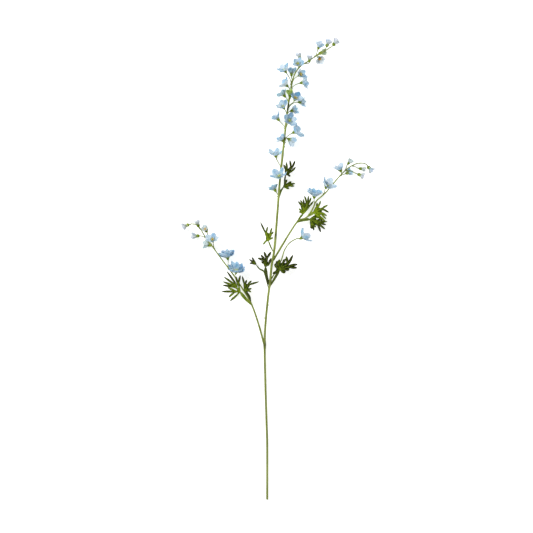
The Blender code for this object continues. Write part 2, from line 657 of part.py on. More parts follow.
def main():
    for old in list(bpy.data.objects):
        bpy.data.objects.remove(old)
    shoots = make_shoots()
    petal_blue = material("petal_blue", PETAL_COLOUR, PETAL_ROUGHNESS)
    bud_pale = material("bud_pale", BUD_COLOUR, PETAL_ROUGHNESS)
    stem_green = material("stem_green", STEM_COLOUR, STEM_ROUGHNESS)
    leaf_green = material("leaf_green", LEAF_COLOUR, LEAF_ROUGHNESS)

    objects, twigs = [], []
    groups = {"main": MAIN_BLOOMS, "left": LEFT_BLOOMS, "right": RIGHT_BLOOMS, "stalk": STALK_BLOOMS}
    for shoot_name, group in groups.items():
        for number, placed in enumerate(group, 1):
            name = f"bloom_{shoot_name}_{number:02d}"
            made, base, axis = bloom(name, placed, shoots[shoot_name])
            paint(made, petal_blue if placed.opening > BUD_OPENING else bud_pale)
            objects.append(made)
            twigs.append(stalk_and_cup(name, base, axis, placed, shoots[shoot_name]))

    sides = {"main": STEM_SIDES, "left": SHOOT_SIDES, "right": SHOOT_SIDES, "stalk": PEDICEL_SIDES}
    tubes = {
        name: tube(name + "_stem", *shoot.rings(), sides[name]) for name, shoot in shoots.items()
    }
    stem = united("stem", tubes.pop("main"), [*tubes.values(), *twigs])
    paint(stem, stem_green)
    objects.append(stem)

    for name in LEAVES:
        made = leaf(name, shoots)
        paint(made, leaf_green)
        objects.append(made)
    centre_on_origin(objects)


main()
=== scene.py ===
# %% [markdown]
# # A delphinium spray, dressed for its picture
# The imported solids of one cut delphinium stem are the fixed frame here: they say where every bloom,
# leaf and stem lies and how large it is. This script never moves them. It grows a finished surface
# round each one and takes the plain solid out of view, one kind of piece at a time.

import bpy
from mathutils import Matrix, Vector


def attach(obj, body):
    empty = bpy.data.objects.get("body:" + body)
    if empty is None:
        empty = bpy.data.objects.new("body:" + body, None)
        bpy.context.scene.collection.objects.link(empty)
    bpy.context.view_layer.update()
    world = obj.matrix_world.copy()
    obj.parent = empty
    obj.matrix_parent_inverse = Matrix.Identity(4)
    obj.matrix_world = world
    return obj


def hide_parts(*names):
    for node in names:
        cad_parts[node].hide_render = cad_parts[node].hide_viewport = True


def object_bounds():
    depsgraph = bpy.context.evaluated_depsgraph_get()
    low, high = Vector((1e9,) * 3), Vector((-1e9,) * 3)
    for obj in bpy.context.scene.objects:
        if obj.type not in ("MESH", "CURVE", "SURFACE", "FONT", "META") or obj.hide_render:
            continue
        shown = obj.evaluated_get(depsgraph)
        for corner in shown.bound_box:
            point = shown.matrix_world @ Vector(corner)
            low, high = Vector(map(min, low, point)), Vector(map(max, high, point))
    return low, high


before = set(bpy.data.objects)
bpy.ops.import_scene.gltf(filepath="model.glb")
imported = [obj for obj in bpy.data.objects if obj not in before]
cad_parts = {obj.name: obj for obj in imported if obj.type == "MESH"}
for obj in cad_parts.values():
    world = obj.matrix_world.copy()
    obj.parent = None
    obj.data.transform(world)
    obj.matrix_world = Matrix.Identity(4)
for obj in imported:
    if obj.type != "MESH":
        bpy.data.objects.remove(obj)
cad_low, cad_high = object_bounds()
print("Solids in the frame:", len(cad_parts))

# %% [markdown]
# ## Units and small helpers
# Sizes below are in millimetres, because that is how a flower is measured, and a mesh takes metres.
# The plant's own numbers count from the middle of its cut end. `ON_TABLE` is where that point lies
# in the frame, read from the stem's solid, so a number always finds its place.

# %% Units and helpers
import math
import random
from collections import namedtuple

import bmesh
import bpy
import numpy as np
from mathutils import Vector, geometry
from numpy.linalg import norm

MM = 0.001
SEED = 27
TURN = 2 * math.pi


def mix(a, b, share):
    return a + (b - a) * share


def smoothstep(share):
    share = np.clip(share, 0, 1)
    return share * share * (3 - 2 * share)


def new_object(name, mesh):
    made = bpy.data.objects.new(name, mesh)
    bpy.context.scene.collection.objects.link(made)
    return made


def net(name, points, faces=(), edges=(), **values):
    """A mesh in metres from points in millimetres, with a value for each point under each name."""
    mesh = bpy.data.meshes.new(name)
    mesh.from_pydata([tuple(float(c) * MM for c in point) for point in points], edges, faces)
    for label, numbers in values.items():
        numbers = np.asarray(numbers, np.float32)
        kind, key = ("FLOAT_VECTOR", "vector") if numbers.ndim == 2 else ("FLOAT", "value")
        mesh.attributes.new(label, kind, "POINT").data.foreach_set(key, numbers.ravel())
    return mesh


def cut_end_centre():
    corners = np.array([vertex.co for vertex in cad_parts["stem"].data.vertices])
    face = corners[corners[:, 1] < cad_low.y + MM]
    return Vector((face[:, 0].mean(), cad_low.y, 0))


ON_TABLE = cut_end_centre() / MM
print("The plant as it lies, in mm:", [round(side / MM, 1) for side in cad_high - cad_low])
print("Its cut end lies at, in mm:", [round(c, 2) for c in ON_TABLE])

# %% [markdown]
# ## Writing node trees
# Both finishes and growing shapes are node trees. `Sheet` adds one node to a line: its inputs take
# either a plain value or the output of another node. `growth_tree` starts a geometry tree with named
# inputs, so one tree makes many pieces, each with its own sizes.

# %% Write a tree
SOCKETS = {
    int: "NodeSocketInt", float: "NodeSocketFloat",
    bpy.types.Material: "NodeSocketMaterial", bpy.types.Object: "NodeSocketObject",
}


class Sheet:
    """A node tree, written one node to a line."""

    def __init__(self, tree):
        self.tree = tree

    def add(self, kind, inputs=(), output=0, **settings):
        node = self.tree.nodes.new(kind)
        for label, value in settings.items():
            setattr(node, label, value)
        for key, value in dict(inputs).items():
            if isinstance(value, bpy.types.NodeSocket):
                self.tree.links.new(value, node.inputs[key])
            else:
                node.inputs[key].default_value = value
        return node.outputs[output]

    def maths(self, operation, *terms):
        return self.add("ShaderNodeMath", enumerate(terms), operation=operation)

    def times(self, first, second):
        return self.maths("MULTIPLY", first, second)

    def vector(self, operation, terms):
        return self.add("ShaderNodeVectorMath", terms, operation=operation)

    def attribute(self, label, kind="FLOAT"):
        return self.add("GeometryNodeInputNamedAttribute", {"Name": label}, data_type=kind)


def growth_tree(name, inputs):
    """A geometry tree with these named inputs. Returns its sheet and its input sockets by name."""
    tree = bpy.data.node_groups.new(name, "GeometryNodeTree")
    tree.interface.new_socket("Geometry", in_out="OUTPUT", socket_type="NodeSocketGeometry")
    tree.interface.new_socket("Geometry", in_out="INPUT", socket_type="NodeSocketGeometry")
    for label, value in inputs.items():
        socket = tree.interface.new_socket(label, in_out="INPUT", socket_type=SOCKETS[type(value)])
        socket.default_value = value
    return Sheet(tree), tree.nodes.new("NodeGroupInput").outputs


def end_tree(sheet, shape, finish):
    """The last two steps of each tree: copies become real faces, and the finish goes on."""
    real = sheet.add("GeometryNodeRealizeInstances", {"Geometry": shape})
    done = sheet.add("GeometryNodeSetMaterial", {"Geometry": real, "Material": finish})
    sheet.tree.links.new(done, sheet.tree.nodes.new("NodeGroupOutput").inputs[0])


print("Kinds of input that a growth tree takes:", len(SOCKETS))

# %% [markdown]
# ## From a live object to a finished piece
# `grown` runs a geometry tree once and keeps the plain mesh, so that nothing live is left behind.
# `thickened` does the same with a wall, for petals, cups and leaves, which start as sheets.
# `finished` takes the solids that the piece replaces out of view and hangs it on the body that carries it.

# %% Finish a piece
def baked(name, source):
    """The object that a live one comes to, as a plain mesh at the origin."""
    graph = bpy.context.evaluated_depsgraph_get()
    mesh = bpy.data.meshes.new_from_object(source.evaluated_get(graph))
    bpy.data.objects.remove(source)
    mesh.name = name
    return new_object(name, mesh)


def grown(name, source, sheet, settings):
    """Runs a geometry tree on a mesh and returns the plain result."""
    live = new_object(name + "_seed", source)
    modifier = live.modifiers.new("growth", "NODES")
    modifier.node_group = sheet.tree
    for item in sheet.tree.interface.items_tree:
        if item.in_out == "INPUT" and item.name in settings:
            modifier[item.identifier] = settings[item.name]
    return baked(name, live)


def thickened(name, mesh, wall, offset=0.0):
    """A sheet given its thickness and closed round the edge."""
    live = new_object(name + "_sheet", mesh)
    solid = live.modifiers.new("wall", "SOLIDIFY")
    solid.thickness = wall * MM
    solid.offset = offset
    return baked(name, live)


def finished(piece, slot, *replaced, sharp=40):
    """Smooth shading, then the replaced solids out of view and the piece on its body."""
    piece.data.shade_smooth()
    piece.data.set_sharp_from_angle(angle=math.radians(sharp))
    if replaced:
        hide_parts(*replaced)
    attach(piece, "root")
    print(f"{piece.name}: {sum(len(face.vertices) - 2 for face in piece.data.polygons)} triangles")


# %% [markdown]
# ## Colours and finishes
# Each finish is one short tree of nodes. Its colour follows the growth of the piece, by values that
# the mesh carries (how far along, how near a rib), and a little noise keeps any two from matching.
# `screen` takes a colour as the eye reads it on a screen and gives the linear one that light needs.

# %% Colour helpers
GLOW_DEPTH = 0.004  # metres that light travels inside a petal before it comes out again
FINE_RELIEF = 0.0002  # metres
NOISE_CORE = (0.3, 0.7)  # nearly all of a noise lies between these


def screen(red, green, blue):
    shares = [level / 255 for level in (red, green, blue)]
    return (*[((share + 0.055) / 1.055) ** 2.4 for share in shares], 1)


def new_finish(name, gloss=0.3, sheen=0.0, sheen_roughness=0.4, glow=0.0):
    finish = bpy.data.materials.new(name)
    finish.use_nodes = True
    shader = finish.node_tree.nodes["Principled BSDF"]
    shader.inputs["Specular IOR Level"].default_value = gloss
    shader.inputs["Sheen Weight"].default_value = sheen
    shader.inputs["Sheen Roughness"].default_value = sheen_roughness
    shader.inputs["Subsurface Weight"].default_value = glow
    shader.inputs["Subsurface Radius"].default_value = (1, 1, 1)
    shader.inputs["Subsurface Scale"].default_value = GLOW_DEPTH
    return finish, Sheet(finish.node_tree), shader


def blend(sheet, share, first, second):
    """One colour into another. Each is a colour or a socket."""
    return sheet.add("ShaderNodeMix", {0: share, 6: first, 7: second}, 2, data_type="RGBA")


def carried(sheet, label):
    """A value that the mesh carries."""
    return sheet.add("ShaderNodeAttribute", output="Fac", attribute_name=label)


def speckle(sheet, scale, detail=2.0, stretch=(1, 1, 1)):
    """Noise from the place on the plant, in patches of about 1 / scale metres."""
    place = sheet.add("ShaderNodeTexCoord", output="Object")
    place = sheet.vector("MULTIPLY", {0: place, 1: stretch})
    return sheet.add("ShaderNodeTexNoise", {"Vector": place, "Scale": scale, "Detail": detail})


def between(sheet, value, start, end, low=0.0, high=1.0):
    return sheet.add("ShaderNodeMapRange", enumerate((value, start, end, low, high)))


def paint(sheet, shader, colour, grain, roughness):
    """The colour, and a roughness that wanders between two values as the grain does."""
    sheet.tree.links.new(colour, shader.inputs["Base Color"])
    sheet.tree.links.new(between(sheet, grain, *NOISE_CORE, *roughness), shader.inputs["Roughness"])


def raise_up(sheet, shader, height, strength, depth=FINE_RELIEF):
    """Bump of this depth in metres."""
    facing = sheet.add("ShaderNodeBump", {"Strength": strength, "Distance": depth, "Height": height})
    sheet.tree.links.new(facing, shader.inputs["Normal"])


print("Half grey on a screen is, in light:", round(screen(128, 128, 128)[0], 3))

# %% [markdown]
# ### Stem green
# A delphinium stem is a fleshy tube with fine ribs. Light catches the ribs, and painted shade darkens
# the grooves between them, while long stains run along the stem. `ridge` comes from the ribs themselves
# and `shade` darkens the joints.

# %% The stem finishes
GREENS = {  # light, middle and dark, as on a screen
    "stem_green": ((176, 188, 104), (130, 144, 58), (46, 58, 6)),
    "stalk_green": ((160, 170, 88), (118, 130, 48), (72, 78, 22)),
    "cup_green": ((164, 184, 56), (112, 138, 20), (52, 70, 4)),
    "leaf_stalk_green": ((164, 184, 72), (116, 138, 30), (10, 16, 0)),
}
STAIN_SCALE, STEM_GRAIN = 90, 1400  # patches to a metre
LONG_STAINS, LONG_GRAIN = (1, 0.16, 1), (1, 0.2, 1)  # drawn out along the stem
GROOVE_SHADE = 0.35
STEM_RELIEF = 0.00015


def stem_finish(name):
    light, middle, dark = [screen(*green) for green in GREENS[name]]
    finish, sheet, shader = new_finish(name, gloss=0.14)
    stains = speckle(sheet, STAIN_SCALE, 3, LONG_STAINS)
    body = blend(sheet, between(sheet, stains, 0.38, 0.66), middle, light)
    # painted shade: the grooves between the ribs are drawn towards the dark green
    groove = sheet.times(between(sheet, carried(sheet, "ridge"), 1, -1), GROOVE_SHADE)
    body = blend(sheet, groove, body, dark)
    joint = sheet.times(carried(sheet, "shade"), between(sheet, stains, 0.3, 0.6, 0.6, 1))
    body = blend(sheet, joint, body, dark)
    fine = speckle(sheet, STEM_GRAIN, 2, LONG_GRAIN)
    paint(sheet, shader, body, fine, (0.42, 0.6))
    raise_up(sheet, shader, fine, 0.35, STEM_RELIEF)
    return finish


stem_green, stalk_green, cup_green, leaf_stalk_green = [stem_finish(name) for name in GREENS]
print("Greens:", list(GREENS))

# %% [markdown]
# ### Petal blue
# A petal is thin cloth-like tissue: pale and faintly green in the throat, sky blue beyond it, with
# a lilac cast in places, and fine veins that spread from the root like the ribs of a fan. `along`
# runs from root to tip and `across` from edge to edge, and `tone` deepens or pales one petal.

# %% The petal finishes
THROAT = screen(200, 216, 160)
ICE = screen(226, 238, 244)
SKY = screen(168, 208, 230)
CORNFLOWER = screen(82, 154, 202)
DEEP = screen(20, 100, 160)
LILAC = screen(204, 204, 236)
FRESH = screen(152, 182, 52)
VEINS = 9.0
CLOUD_SCALE, VEIN_WANDER, PETAL_WEAVE = 130, 420, 2600  # patches to a metre
VEIN_SHADE, VEIN_RELIEF = 0.3, 0.8


def petal_finish(name, root, middle, heart_blue, deep, cast):
    finish, sheet, shader = new_finish(name, gloss=0.2, sheen=0.1, sheen_roughness=0.5, glow=0.4)
    along, across, tone = (carried(sheet, label) for label in ("along", "across", "tone"))
    off_middle = sheet.maths("ABSOLUTE", across)
    cloud = speckle(sheet, CLOUD_SCALE)
    body = blend(sheet, between(sheet, along, 0.06, 0.4), root, middle)
    heart = sheet.times(between(sheet, off_middle, 0.8, 0.2), between(sheet, along, 0.3, 0.6))
    body = blend(sheet, sheet.times(heart, between(sheet, cloud, 0.3, 0.6, 0.3, 1)), body, heart_blue)
    body = blend(sheet, between(sheet, cloud, 0.5, 0.72, 0, 0.5), body, cast)
    body = blend(sheet, between(sheet, tone, 0.5, 1.0, 0, 0.9), body, deep)
    body = blend(sheet, between(sheet, tone, 0.3, -0.2, 0, 0.85), body, ICE)
    rim = sheet.maths("MAXIMUM", off_middle, sheet.maths("POWER", along, 3.0))
    pale_rim = sheet.times(between(sheet, rim, 0.7, 0.98, 0, 0.55), between(sheet, tone, 0.7, 1.0, 1, 0.1))
    body = blend(sheet, pale_rim, body, ICE)
    body = blend(sheet, carried(sheet, "fresh"), body, FRESH)
    wander = sheet.times(speckle(sheet, VEIN_WANDER, 1), 1.6)
    fan = sheet.maths("SINE", sheet.maths("ADD", sheet.times(across, VEINS * math.pi), wander))
    vein = between(sheet, fan, 0.55, 1.0)
    body = blend(sheet, sheet.times(vein, VEIN_SHADE), body, deep)
    weave = speckle(sheet, PETAL_WEAVE)
    paint(sheet, shader, body, weave, (0.58, 0.78))
    raise_up(sheet, shader, sheet.maths("ADD", sheet.times(vein, VEIN_RELIEF), weave), 0.4)
    return finish


petal_blue = petal_finish("petal_blue", THROAT, SKY, CORNFLOWER, DEEP, LILAC)
bud_pale = petal_finish("bud_pale", screen(178, 196, 110), screen(218, 228, 218), LILAC, CORNFLOWER, ICE)
print("Petal finishes:", petal_blue.name, bud_pale.name)

# %% [markdown]
# ### Leaf green
# A leaf is bright green where its fingers meet and dark olive at their tips, with a lighter line
# along each rib. `rib` is 1 on a rib and fades beside it, and `depth` is 0 where it is brightest.

# %% The leaf and stamen finishes
LEAF_DARK = screen(8, 12, 0)
LEAF_MIDDLE = screen(56, 74, 0)
LEAF_BRIGHT = screen(126, 152, 14)
LEAF_RIB = screen(156, 176, 50)
MOTTLE_SCALE, LEAF_CELLS, POLLEN_SCALE = 330, 1500, 2000  # patches to a metre
MOTTLE = 0.32


def leaf_finish():
    finish, sheet, shader = new_finish("leaf_green", gloss=0.08)
    mottle = between(sheet, speckle(sheet, MOTTLE_SCALE, 3), *NOISE_CORE, -MOTTLE, MOTTLE)
    depth = sheet.maths("ADD", carried(sheet, "depth"), mottle)
    body = blend(sheet, between(sheet, depth, 0.0, 0.5), LEAF_BRIGHT, LEAF_MIDDLE)
    body = blend(sheet, between(sheet, depth, 0.5, 1.0), body, LEAF_DARK)
    rib = sheet.times(carried(sheet, "rib"), between(sheet, depth, 0.2, 1.0, 0.6, 0.25))
    body = blend(sheet, rib, body, LEAF_RIB)
    cells = speckle(sheet, LEAF_CELLS)
    paint(sheet, shader, body, cells, (0.55, 0.75))
    raise_up(sheet, shader, cells, 0.4)
    return finish


def stamen_finish():
    """Green-yellow threads with heads that go from lime to orange with `warmth`."""
    finish, sheet, shader = new_finish("stamen_yellow", gloss=0.1, glow=0.5)
    grain = speckle(sheet, POLLEN_SCALE)
    head = blend(sheet, carried(sheet, "warmth"), screen(212, 226, 122), screen(255, 196, 56))
    body = blend(sheet, carried(sheet, "head"), screen(206, 222, 150), head)
    body = blend(sheet, between(sheet, grain, 0.55, 0.85, 0, 0.4), body, screen(184, 160, 60))
    paint(sheet, shader, body, grain, (0.6, 0.9))
    raise_up(sheet, shader, grain, 0.5)
    return finish


leaf_green = leaf_finish()
stamen_yellow = stamen_finish()
print("Finishes made:", len(bpy.data.materials))

# %% [markdown]
# ## The stems
# The main stem rises from the table to carry the spike, and two side shoots and one long flower
# stalk leave it. Each is a line through a few points, smoothed, with a height over the table and a
# radius at every step. They are the lines of the solids, so each finished stem covers its own.

# %% Where the stems run
STEM_RADII = ((0, 2.22), (230, 2.22), (540, 2.45), (640, 2.4), (800, 2.2), (900, 1.75), (996, 1.0))
SHOOT_RADII = (2.15, 1.0)
FLOWER_STALK_RADII = (1.5, 1.15)
LYING_HEIGHT = 2.33  # of the stem's middle, where it lies on the table
LYING_LENGTH, RISEN_LENGTH, SPIKE_HEIGHT = 230.0, 540.0, 24.0
FORKS = (341.0, 480.0)
FORK_SWELLING, FORK_SPAN = 0.8, 7.0
DARK_PATCHES = ((865.0, 9.0), (792.0, 6.0), (720.0, 5.0), (583.0, 6.0))  # where the stem is dark, and how far
FORK_SHADE, DARK_PATCH_SHADE = 0.6, 0.9
LOW_SHADE = 0.22  # the bare stem below the first fork is a duller green
ROOT_SHADE_LENGTH = 12.0  # a shoot is darker where it leaves the stem
SHOOT_HEIGHTS = {"left": 19.0, "right": 22.0, "stalk": 19.0}
STEPS = 12
ROUTES = {
    "main": (
        (0, 0), (0, 118), (-1.5, 173), (-4.2, 264), (-5.5, 341), (-3.5, 390), (2.4, 450), (6.5, 480),
        (9.5, 514), (16.3, 556), (22, 626), (28.2, 706), (34.6, 765), (41.1, 826), (48, 880), (53, 910),
        (60, 936), (72, 953), (88, 964), (105, 975), (122, 985), (139, 996),
    ),
    "left": (
        (-5.4, 338), (-20.2, 391), (-35.4, 433), (-54.8, 466), (-76, 498), (-98, 527), (-119, 556),
        (-135, 577), (-147, 597), (-156, 606), (-167, 608),
    ),
    "right": (
        (13.4, 528), (34.5, 563), (51.5, 591), (68, 614), (85, 621), (95, 632), (102, 645), (109, 659),
        (129, 677), (156, 709), (176, 729), (196, 740), (213, 741), (221, 736),
    ),
    "stalk": ((6.5, 482), (20, 506), (31, 528), (38, 550), (49, 566), (64, 575), (70, 576)),
}
print("Stems:", ", ".join(ROUTES))

# %% [markdown]
# A curve through few points needs no editing by hand: a Catmull-Rom spline passes through each one
# and stays smooth between them. Radius and shade are then worked out for every step along it.

# %% Draw the stem lines
Stem = namedtuple("Stem", "line length radius shade")


def smooth_line(points, steps):
    """A smooth curve through the points, with this many steps to each span."""
    points = np.asarray(points, float)
    ends = np.vstack([2 * points[0] - points[1], points, 2 * points[-1] - points[-2]])
    t = np.arange(steps)[:, None] / steps
    spans = [
        (2 * b + (c - a) * t + (2 * a - 5 * b + 4 * c - d) * t**2 + (3 * b - a - 3 * c + d) * t**3) / 2
        for a, b, c, d in zip(ends, ends[1:], ends[2:], ends[3:])
    ]
    return np.vstack([*spans, points[-1]])


def run_length(line):
    return np.concatenate([[0], np.cumsum(norm(np.diff(line, axis=0), axis=1))])


def share_along(line):
    """How far along its line each point is, from 0 to 1."""
    length = run_length(line)
    return length / length[-1]


def stem_height(y):
    return mix(LYING_HEIGHT, SPIKE_HEIGHT, smoothstep((y - LYING_LENGTH) / (RISEN_LENGTH - LYING_LENGTH)))


def main_stem():
    flat = smooth_line(ROUTES["main"], STEPS)
    y = flat[:, 1]
    joints = sum(np.exp(-(((y - fork) / FORK_SPAN) ** 2)) for fork in FORKS)
    radius = np.interp(y, *zip(*STEM_RADII)) + FORK_SWELLING * joints
    shade = FORK_SHADE * joints
    shade += sum(DARK_PATCH_SHADE * np.exp(-(((y - place) / span) ** 4)) for place, span in DARK_PATCHES)
    shade += LOW_SHADE * (1 - smoothstep((y - FORKS[0]) / (FORKS[1] - FORKS[0])))
    return Stem(np.column_stack([flat, stem_height(y)]), run_length(flat), radius, shade)


def side_shoot(name, radii):
    flat = smooth_line(ROUTES[name], STEPS)
    length = run_length(flat)
    share = length / length[-1]
    height = mix(stem_height(ROUTES[name][0][1]), SHOOT_HEIGHTS[name], smoothstep(share * 2))
    shade = np.exp(-length / ROOT_SHADE_LENGTH)
    return Stem(np.column_stack([flat, height]), length, mix(*radii, share), shade)


stems = {
    "main": main_stem(),
    "left": side_shoot("left", SHOOT_RADII),
    "right": side_shoot("right", SHOOT_RADII),
    "stalk": side_shoot("stalk", FLOWER_STALK_RADII),
}
print("Stem lengths, in mm:", {name: round(stem.length[-1]) for name, stem in stems.items()})

# %% [markdown]
# A tube along a line could be swept by hand, but geometry nodes do it from any set of lines at once:
# a ribbed ring is drawn once, and `Curve to Mesh` carries it down every line at the line's own
# radius. The rings' ridges are kept as a value, so the finish can stain the grooves.

# %% The tree that makes every stem
def ribbed_stems():
    sheet, given = growth_tree("ribbed_stems", {
        "Sides": 16, "Ribs": 8, "Rib depth": 0.05, "Thickness": 1.0, "Finish": stem_green,
    })
    ring = sheet.add("GeometryNodeCurvePrimitiveCircle", {"Resolution": given["Sides"], "Radius": 1.0})
    turn = sheet.times(sheet.add("GeometryNodeSplineParameter"), TURN)
    ridge = sheet.maths("COSINE", sheet.times(turn, given["Ribs"]))
    ring = sheet.add(
        "GeometryNodeStoreNamedAttribute", {"Geometry": ring, "Name": "ridge", "Value": ridge})
    lift = sheet.times(sheet.attribute("ridge"), given["Rib depth"])
    outwards = sheet.vector("SCALE", {0: sheet.add("GeometryNodeInputPosition"), "Scale": lift})
    ring = sheet.add("GeometryNodeSetPosition", {"Geometry": ring, "Offset": outwards})
    flat = sheet.add("ShaderNodeCombineXYZ", {"X": 1.0, "Y": given["Thickness"], "Z": 1.0})
    ring = sheet.add("GeometryNodeTransform", {"Geometry": ring, "Scale": flat})
    lines = sheet.add("GeometryNodeMeshToCurve", {"Mesh": given["Geometry"]})
    lines = sheet.add("GeometryNodeSetCurveNormal", {"Curve": lines}, mode="Z_UP")
    tubes = sheet.add("GeometryNodeCurveToMesh", {
        "Curve": lines, "Profile Curve": ring, "Scale": sheet.attribute("radius"), "Fill Caps": True})
    end_tree(sheet, tubes, given["Finish"])
    return sheet


STEM_GROWTH = ribbed_stems()


def lines_mesh(name, lines, radii, shades):
    """Many lines as one mesh of edges, with each point's radius in metres."""
    points = np.vstack(lines) + np.array(ON_TABLE)
    edges, start = [], 0
    for line in lines:
        edges += [(start + step, start + step + 1) for step in range(len(line) - 1)]
        start += len(line)
    return net(name, points, edges=edges, radius=np.concatenate(radii) * MM, shade=np.concatenate(shades))


def tubes(name, lines, sides, ribs, rib_depth, finish, thickness=1.0):
    """One piece from many lines, each with its radii and shades."""
    return grown(name, lines_mesh(name, *zip(*lines)), STEM_GROWTH, {
        "Sides": sides, "Ribs": ribs, "Rib depth": rib_depth, "Thickness": thickness, "Finish": finish})


STEM_PIECES = {  # the lines in it, then its sides, its ribs and how deep they are over its radius
    "stem_main": (("main",), 32, 8, 0.045),
    "stem_shoots": (("left", "right"), 24, 6, 0.05),
    "stem_flower_stalk": (("stalk",), 12, 3, 0.04),
}
for name, (keys, *shape) in STEM_PIECES.items():
    lines = [(stems[key].line, stems[key].radius, stems[key].shade) for key in keys]
    replaced = ["stem"] if "main" in keys else []
    finished(tubes(name, lines, *shape, stem_green), "stem", *replaced)

# %% [markdown]
# ## Reading the blooms
# Each bloom's solid has one point under its middle, one at its raised eye, and five petals with a
# tip each. From these come its base, the way it faces, how open it is and where its petals point.
# Reading them from the frame keeps every finished flower on its own solid.

# %% Read the blooms
BLOOM = "bloom_"  # starts the name of each bloom's node, before the stem it is on and its number
Bloom = namedtuple("Bloom", "name base axis tips opening width")
RING_HEIGHT = 1.0
RING_RADIUS = (1.5, 2.3)  # where petals join, in a bud and in a full bloom
SHUT_SLOPE, OPEN_SLOPE = 70.5, 39.0  # degrees from square to the axis, root to tip
PETALS = 5
TIP_WINDOW = math.cos(math.radians(10))
SAME_CORNER = 1e-6  # metres
OPENING_ROUNDS = 4  # the opening and the ring settle each other


def bloom_ends(shape):
    """The two corners where the most faces meet: the base and the eye."""
    base, eye = [corner.co / MM for corner in sorted(shape.verts, key=lambda v: len(v.link_faces))[-2:]]
    middle = sum((corner.co for corner in shape.verts), Vector()) / len(shape.verts) / MM
    return (base, eye) if (middle - base).dot(eye - base) > (middle - eye).dot(base - eye) else (eye, base)


def petal_tips(base, axis, corners):
    """The middle of each petal's tip, going round the bloom."""
    out = [corner - base - axis * (corner - base).dot(axis) for corner in corners]
    far = sorted(range(len(corners)), key=lambda i: -(corners[i] - base).length)
    first = out[far[0]].normalized()
    tips = []
    for petal in range(PETALS):
        turn = petal * TURN / PETALS
        aim = math.cos(turn) * first + math.sin(turn) * axis.cross(first)
        near = [i for i in far if out[i].length and out[i].normalized().dot(aim) > TIP_WINDOW][:2]
        tips.append((corners[near[0]] + corners[near[1]]) / 2)
    return tips


def read_bloom(node):
    shape = bmesh.new()
    shape.from_mesh(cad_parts[node].data)
    bmesh.ops.remove_doubles(shape, verts=shape.verts, dist=SAME_CORNER)
    base, eye = bloom_ends(shape)
    axis = (eye - base).normalized()
    tips = petal_tips(base, axis, [corner.co / MM for corner in shape.verts])
    shape.free()
    rises = [(tip - base).dot(axis) for tip in tips]
    reaches = [(tip - base - axis * rise).length for tip, rise in zip(tips, rises)]
    opening = 0.5
    for _ in range(OPENING_ROUNDS):
        ring = mix(*RING_RADIUS, opening)
        slopes = [math.degrees(math.atan2(rise - RING_HEIGHT, reach - ring))
                  for rise, reach in zip(rises, reaches)]
        opening = (SHUT_SLOPE - sum(slopes) / PETALS) / (SHUT_SLOPE - OPEN_SLOPE)
    return Bloom(node.removeprefix(BLOOM), base, axis, tips, min(1.0, max(0.0, opening)), 2 * max(reaches))


blooms = [read_bloom(name) for name in sorted(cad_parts) if name.startswith(BLOOM)]
for bloom in blooms[::9]:
    print(f"{bloom.name}: {bloom.width:.0f} mm wide, {bloom.opening:.2f} open")

# %% [markdown]
# ## Flower stalks
# Every bloom hangs on a thread-thin stalk that leaves its stem lower down, starts along it and
# bends out to the cup. A cubic curve with two handles has just that shape: the first handle lies
# along the stem and the second behind the cup.

# %% Flower stalks
CUP_LENGTH, CUP_GAP = 4.6, 0.3
STALK_RADIUS, STALK_OVER_STEM = 0.92, 0.8  # its radius, and at most this share of its stem's
STALK_TUBE = (10, 5, 0.06)  # its sides, its ribs and how deep they are over its radius
STALK_LEAD, STALK_DROP = 5.0, 0.8  # how far down the stem it leaves, more for a bloom that stands out
STALK_ALONG = 1.2
STALK_HANDLES = (0.4, 0.35)
STALK_STEPS = 14
STALK_WAIST, STALK_TOP, STALK_FOOT = 0.86, 0.5, 0.4  # its width at the middle, and what the ends add
STALK_SHADE, STALK_SHADE_FALL = 0.8, 9
INTO_CUP = 0.8
SHORT_LEAD = {"left_08": 3.0}  # blooms that sit closer to their stem than the rule has it


def stem_of(bloom):
    return stems[bloom.name.split("_")[0]]


def nearest_step(stem, point):
    return int(norm(stem.line[:, :2] - point[:2], axis=1).argmin())


def direction(stem, step):
    last = len(stem.line) - 1
    along = stem.line[min(step + 1, last)] - stem.line[max(step - 1, 0)]
    return along / norm(along)


def flower_stalk(bloom):
    """The stalk's line, its radii, and how far it is from its root at each step, as a shade."""
    stem = stem_of(bloom)
    axis = np.array(bloom.axis)
    foot = np.array(bloom.base - ON_TABLE) - axis * (CUP_GAP + CUP_LENGTH)
    step = nearest_step(stem, foot)
    if step < len(stem.line) - 1:
        lead = STALK_LEAD + STALK_DROP * norm(stem.line[step] - foot)
        wanted = max(stem.length[step] - SHORT_LEAD.get(bloom.name, lead), 0.0)
        step = int(abs(stem.length - wanted).argmin())
    root, along = stem.line[step], direction(stem, step)
    away = foot - root
    reach = norm(away)
    start = along * STALK_ALONG + away / reach
    leave = root + start / norm(start) * reach * STALK_HANDLES[0]
    arrive = foot - axis * reach * STALK_HANDLES[1]
    t = np.linspace(0, 1, STALK_STEPS)[:, None]
    line = root * (1 - t)**3 + leave * 3 * t * (1 - t)**2 + arrive * 3 * t**2 * (1 - t) + foot * t**3
    line = np.vstack([line, foot + axis * INTO_CUP])
    share = share_along(line)
    swell = STALK_WAIST + STALK_TOP * share**8 + STALK_FOOT * (1 - share)**10
    radius = min(STALK_RADIUS, stem.radius[step] * STALK_OVER_STEM) * swell
    return line, radius, STALK_SHADE * np.exp(-share * STALK_SHADE_FALL)


stalks = [flower_stalk(bloom) for bloom in blooms]
finished(tubes("flower_stalks", stalks, *STALK_TUBE, stalk_green), "stem")

# %% [markdown]
# ## Green cups
# Behind each bloom sits a small green cup whose rim runs out into five points that hold the petals.
# A cup is turned like a pot, with its rim drawn up into points by a wave. Under a bud it is rounder
# and its points stand up. Geometry nodes set a copy on every foot, turned to face with its bloom.

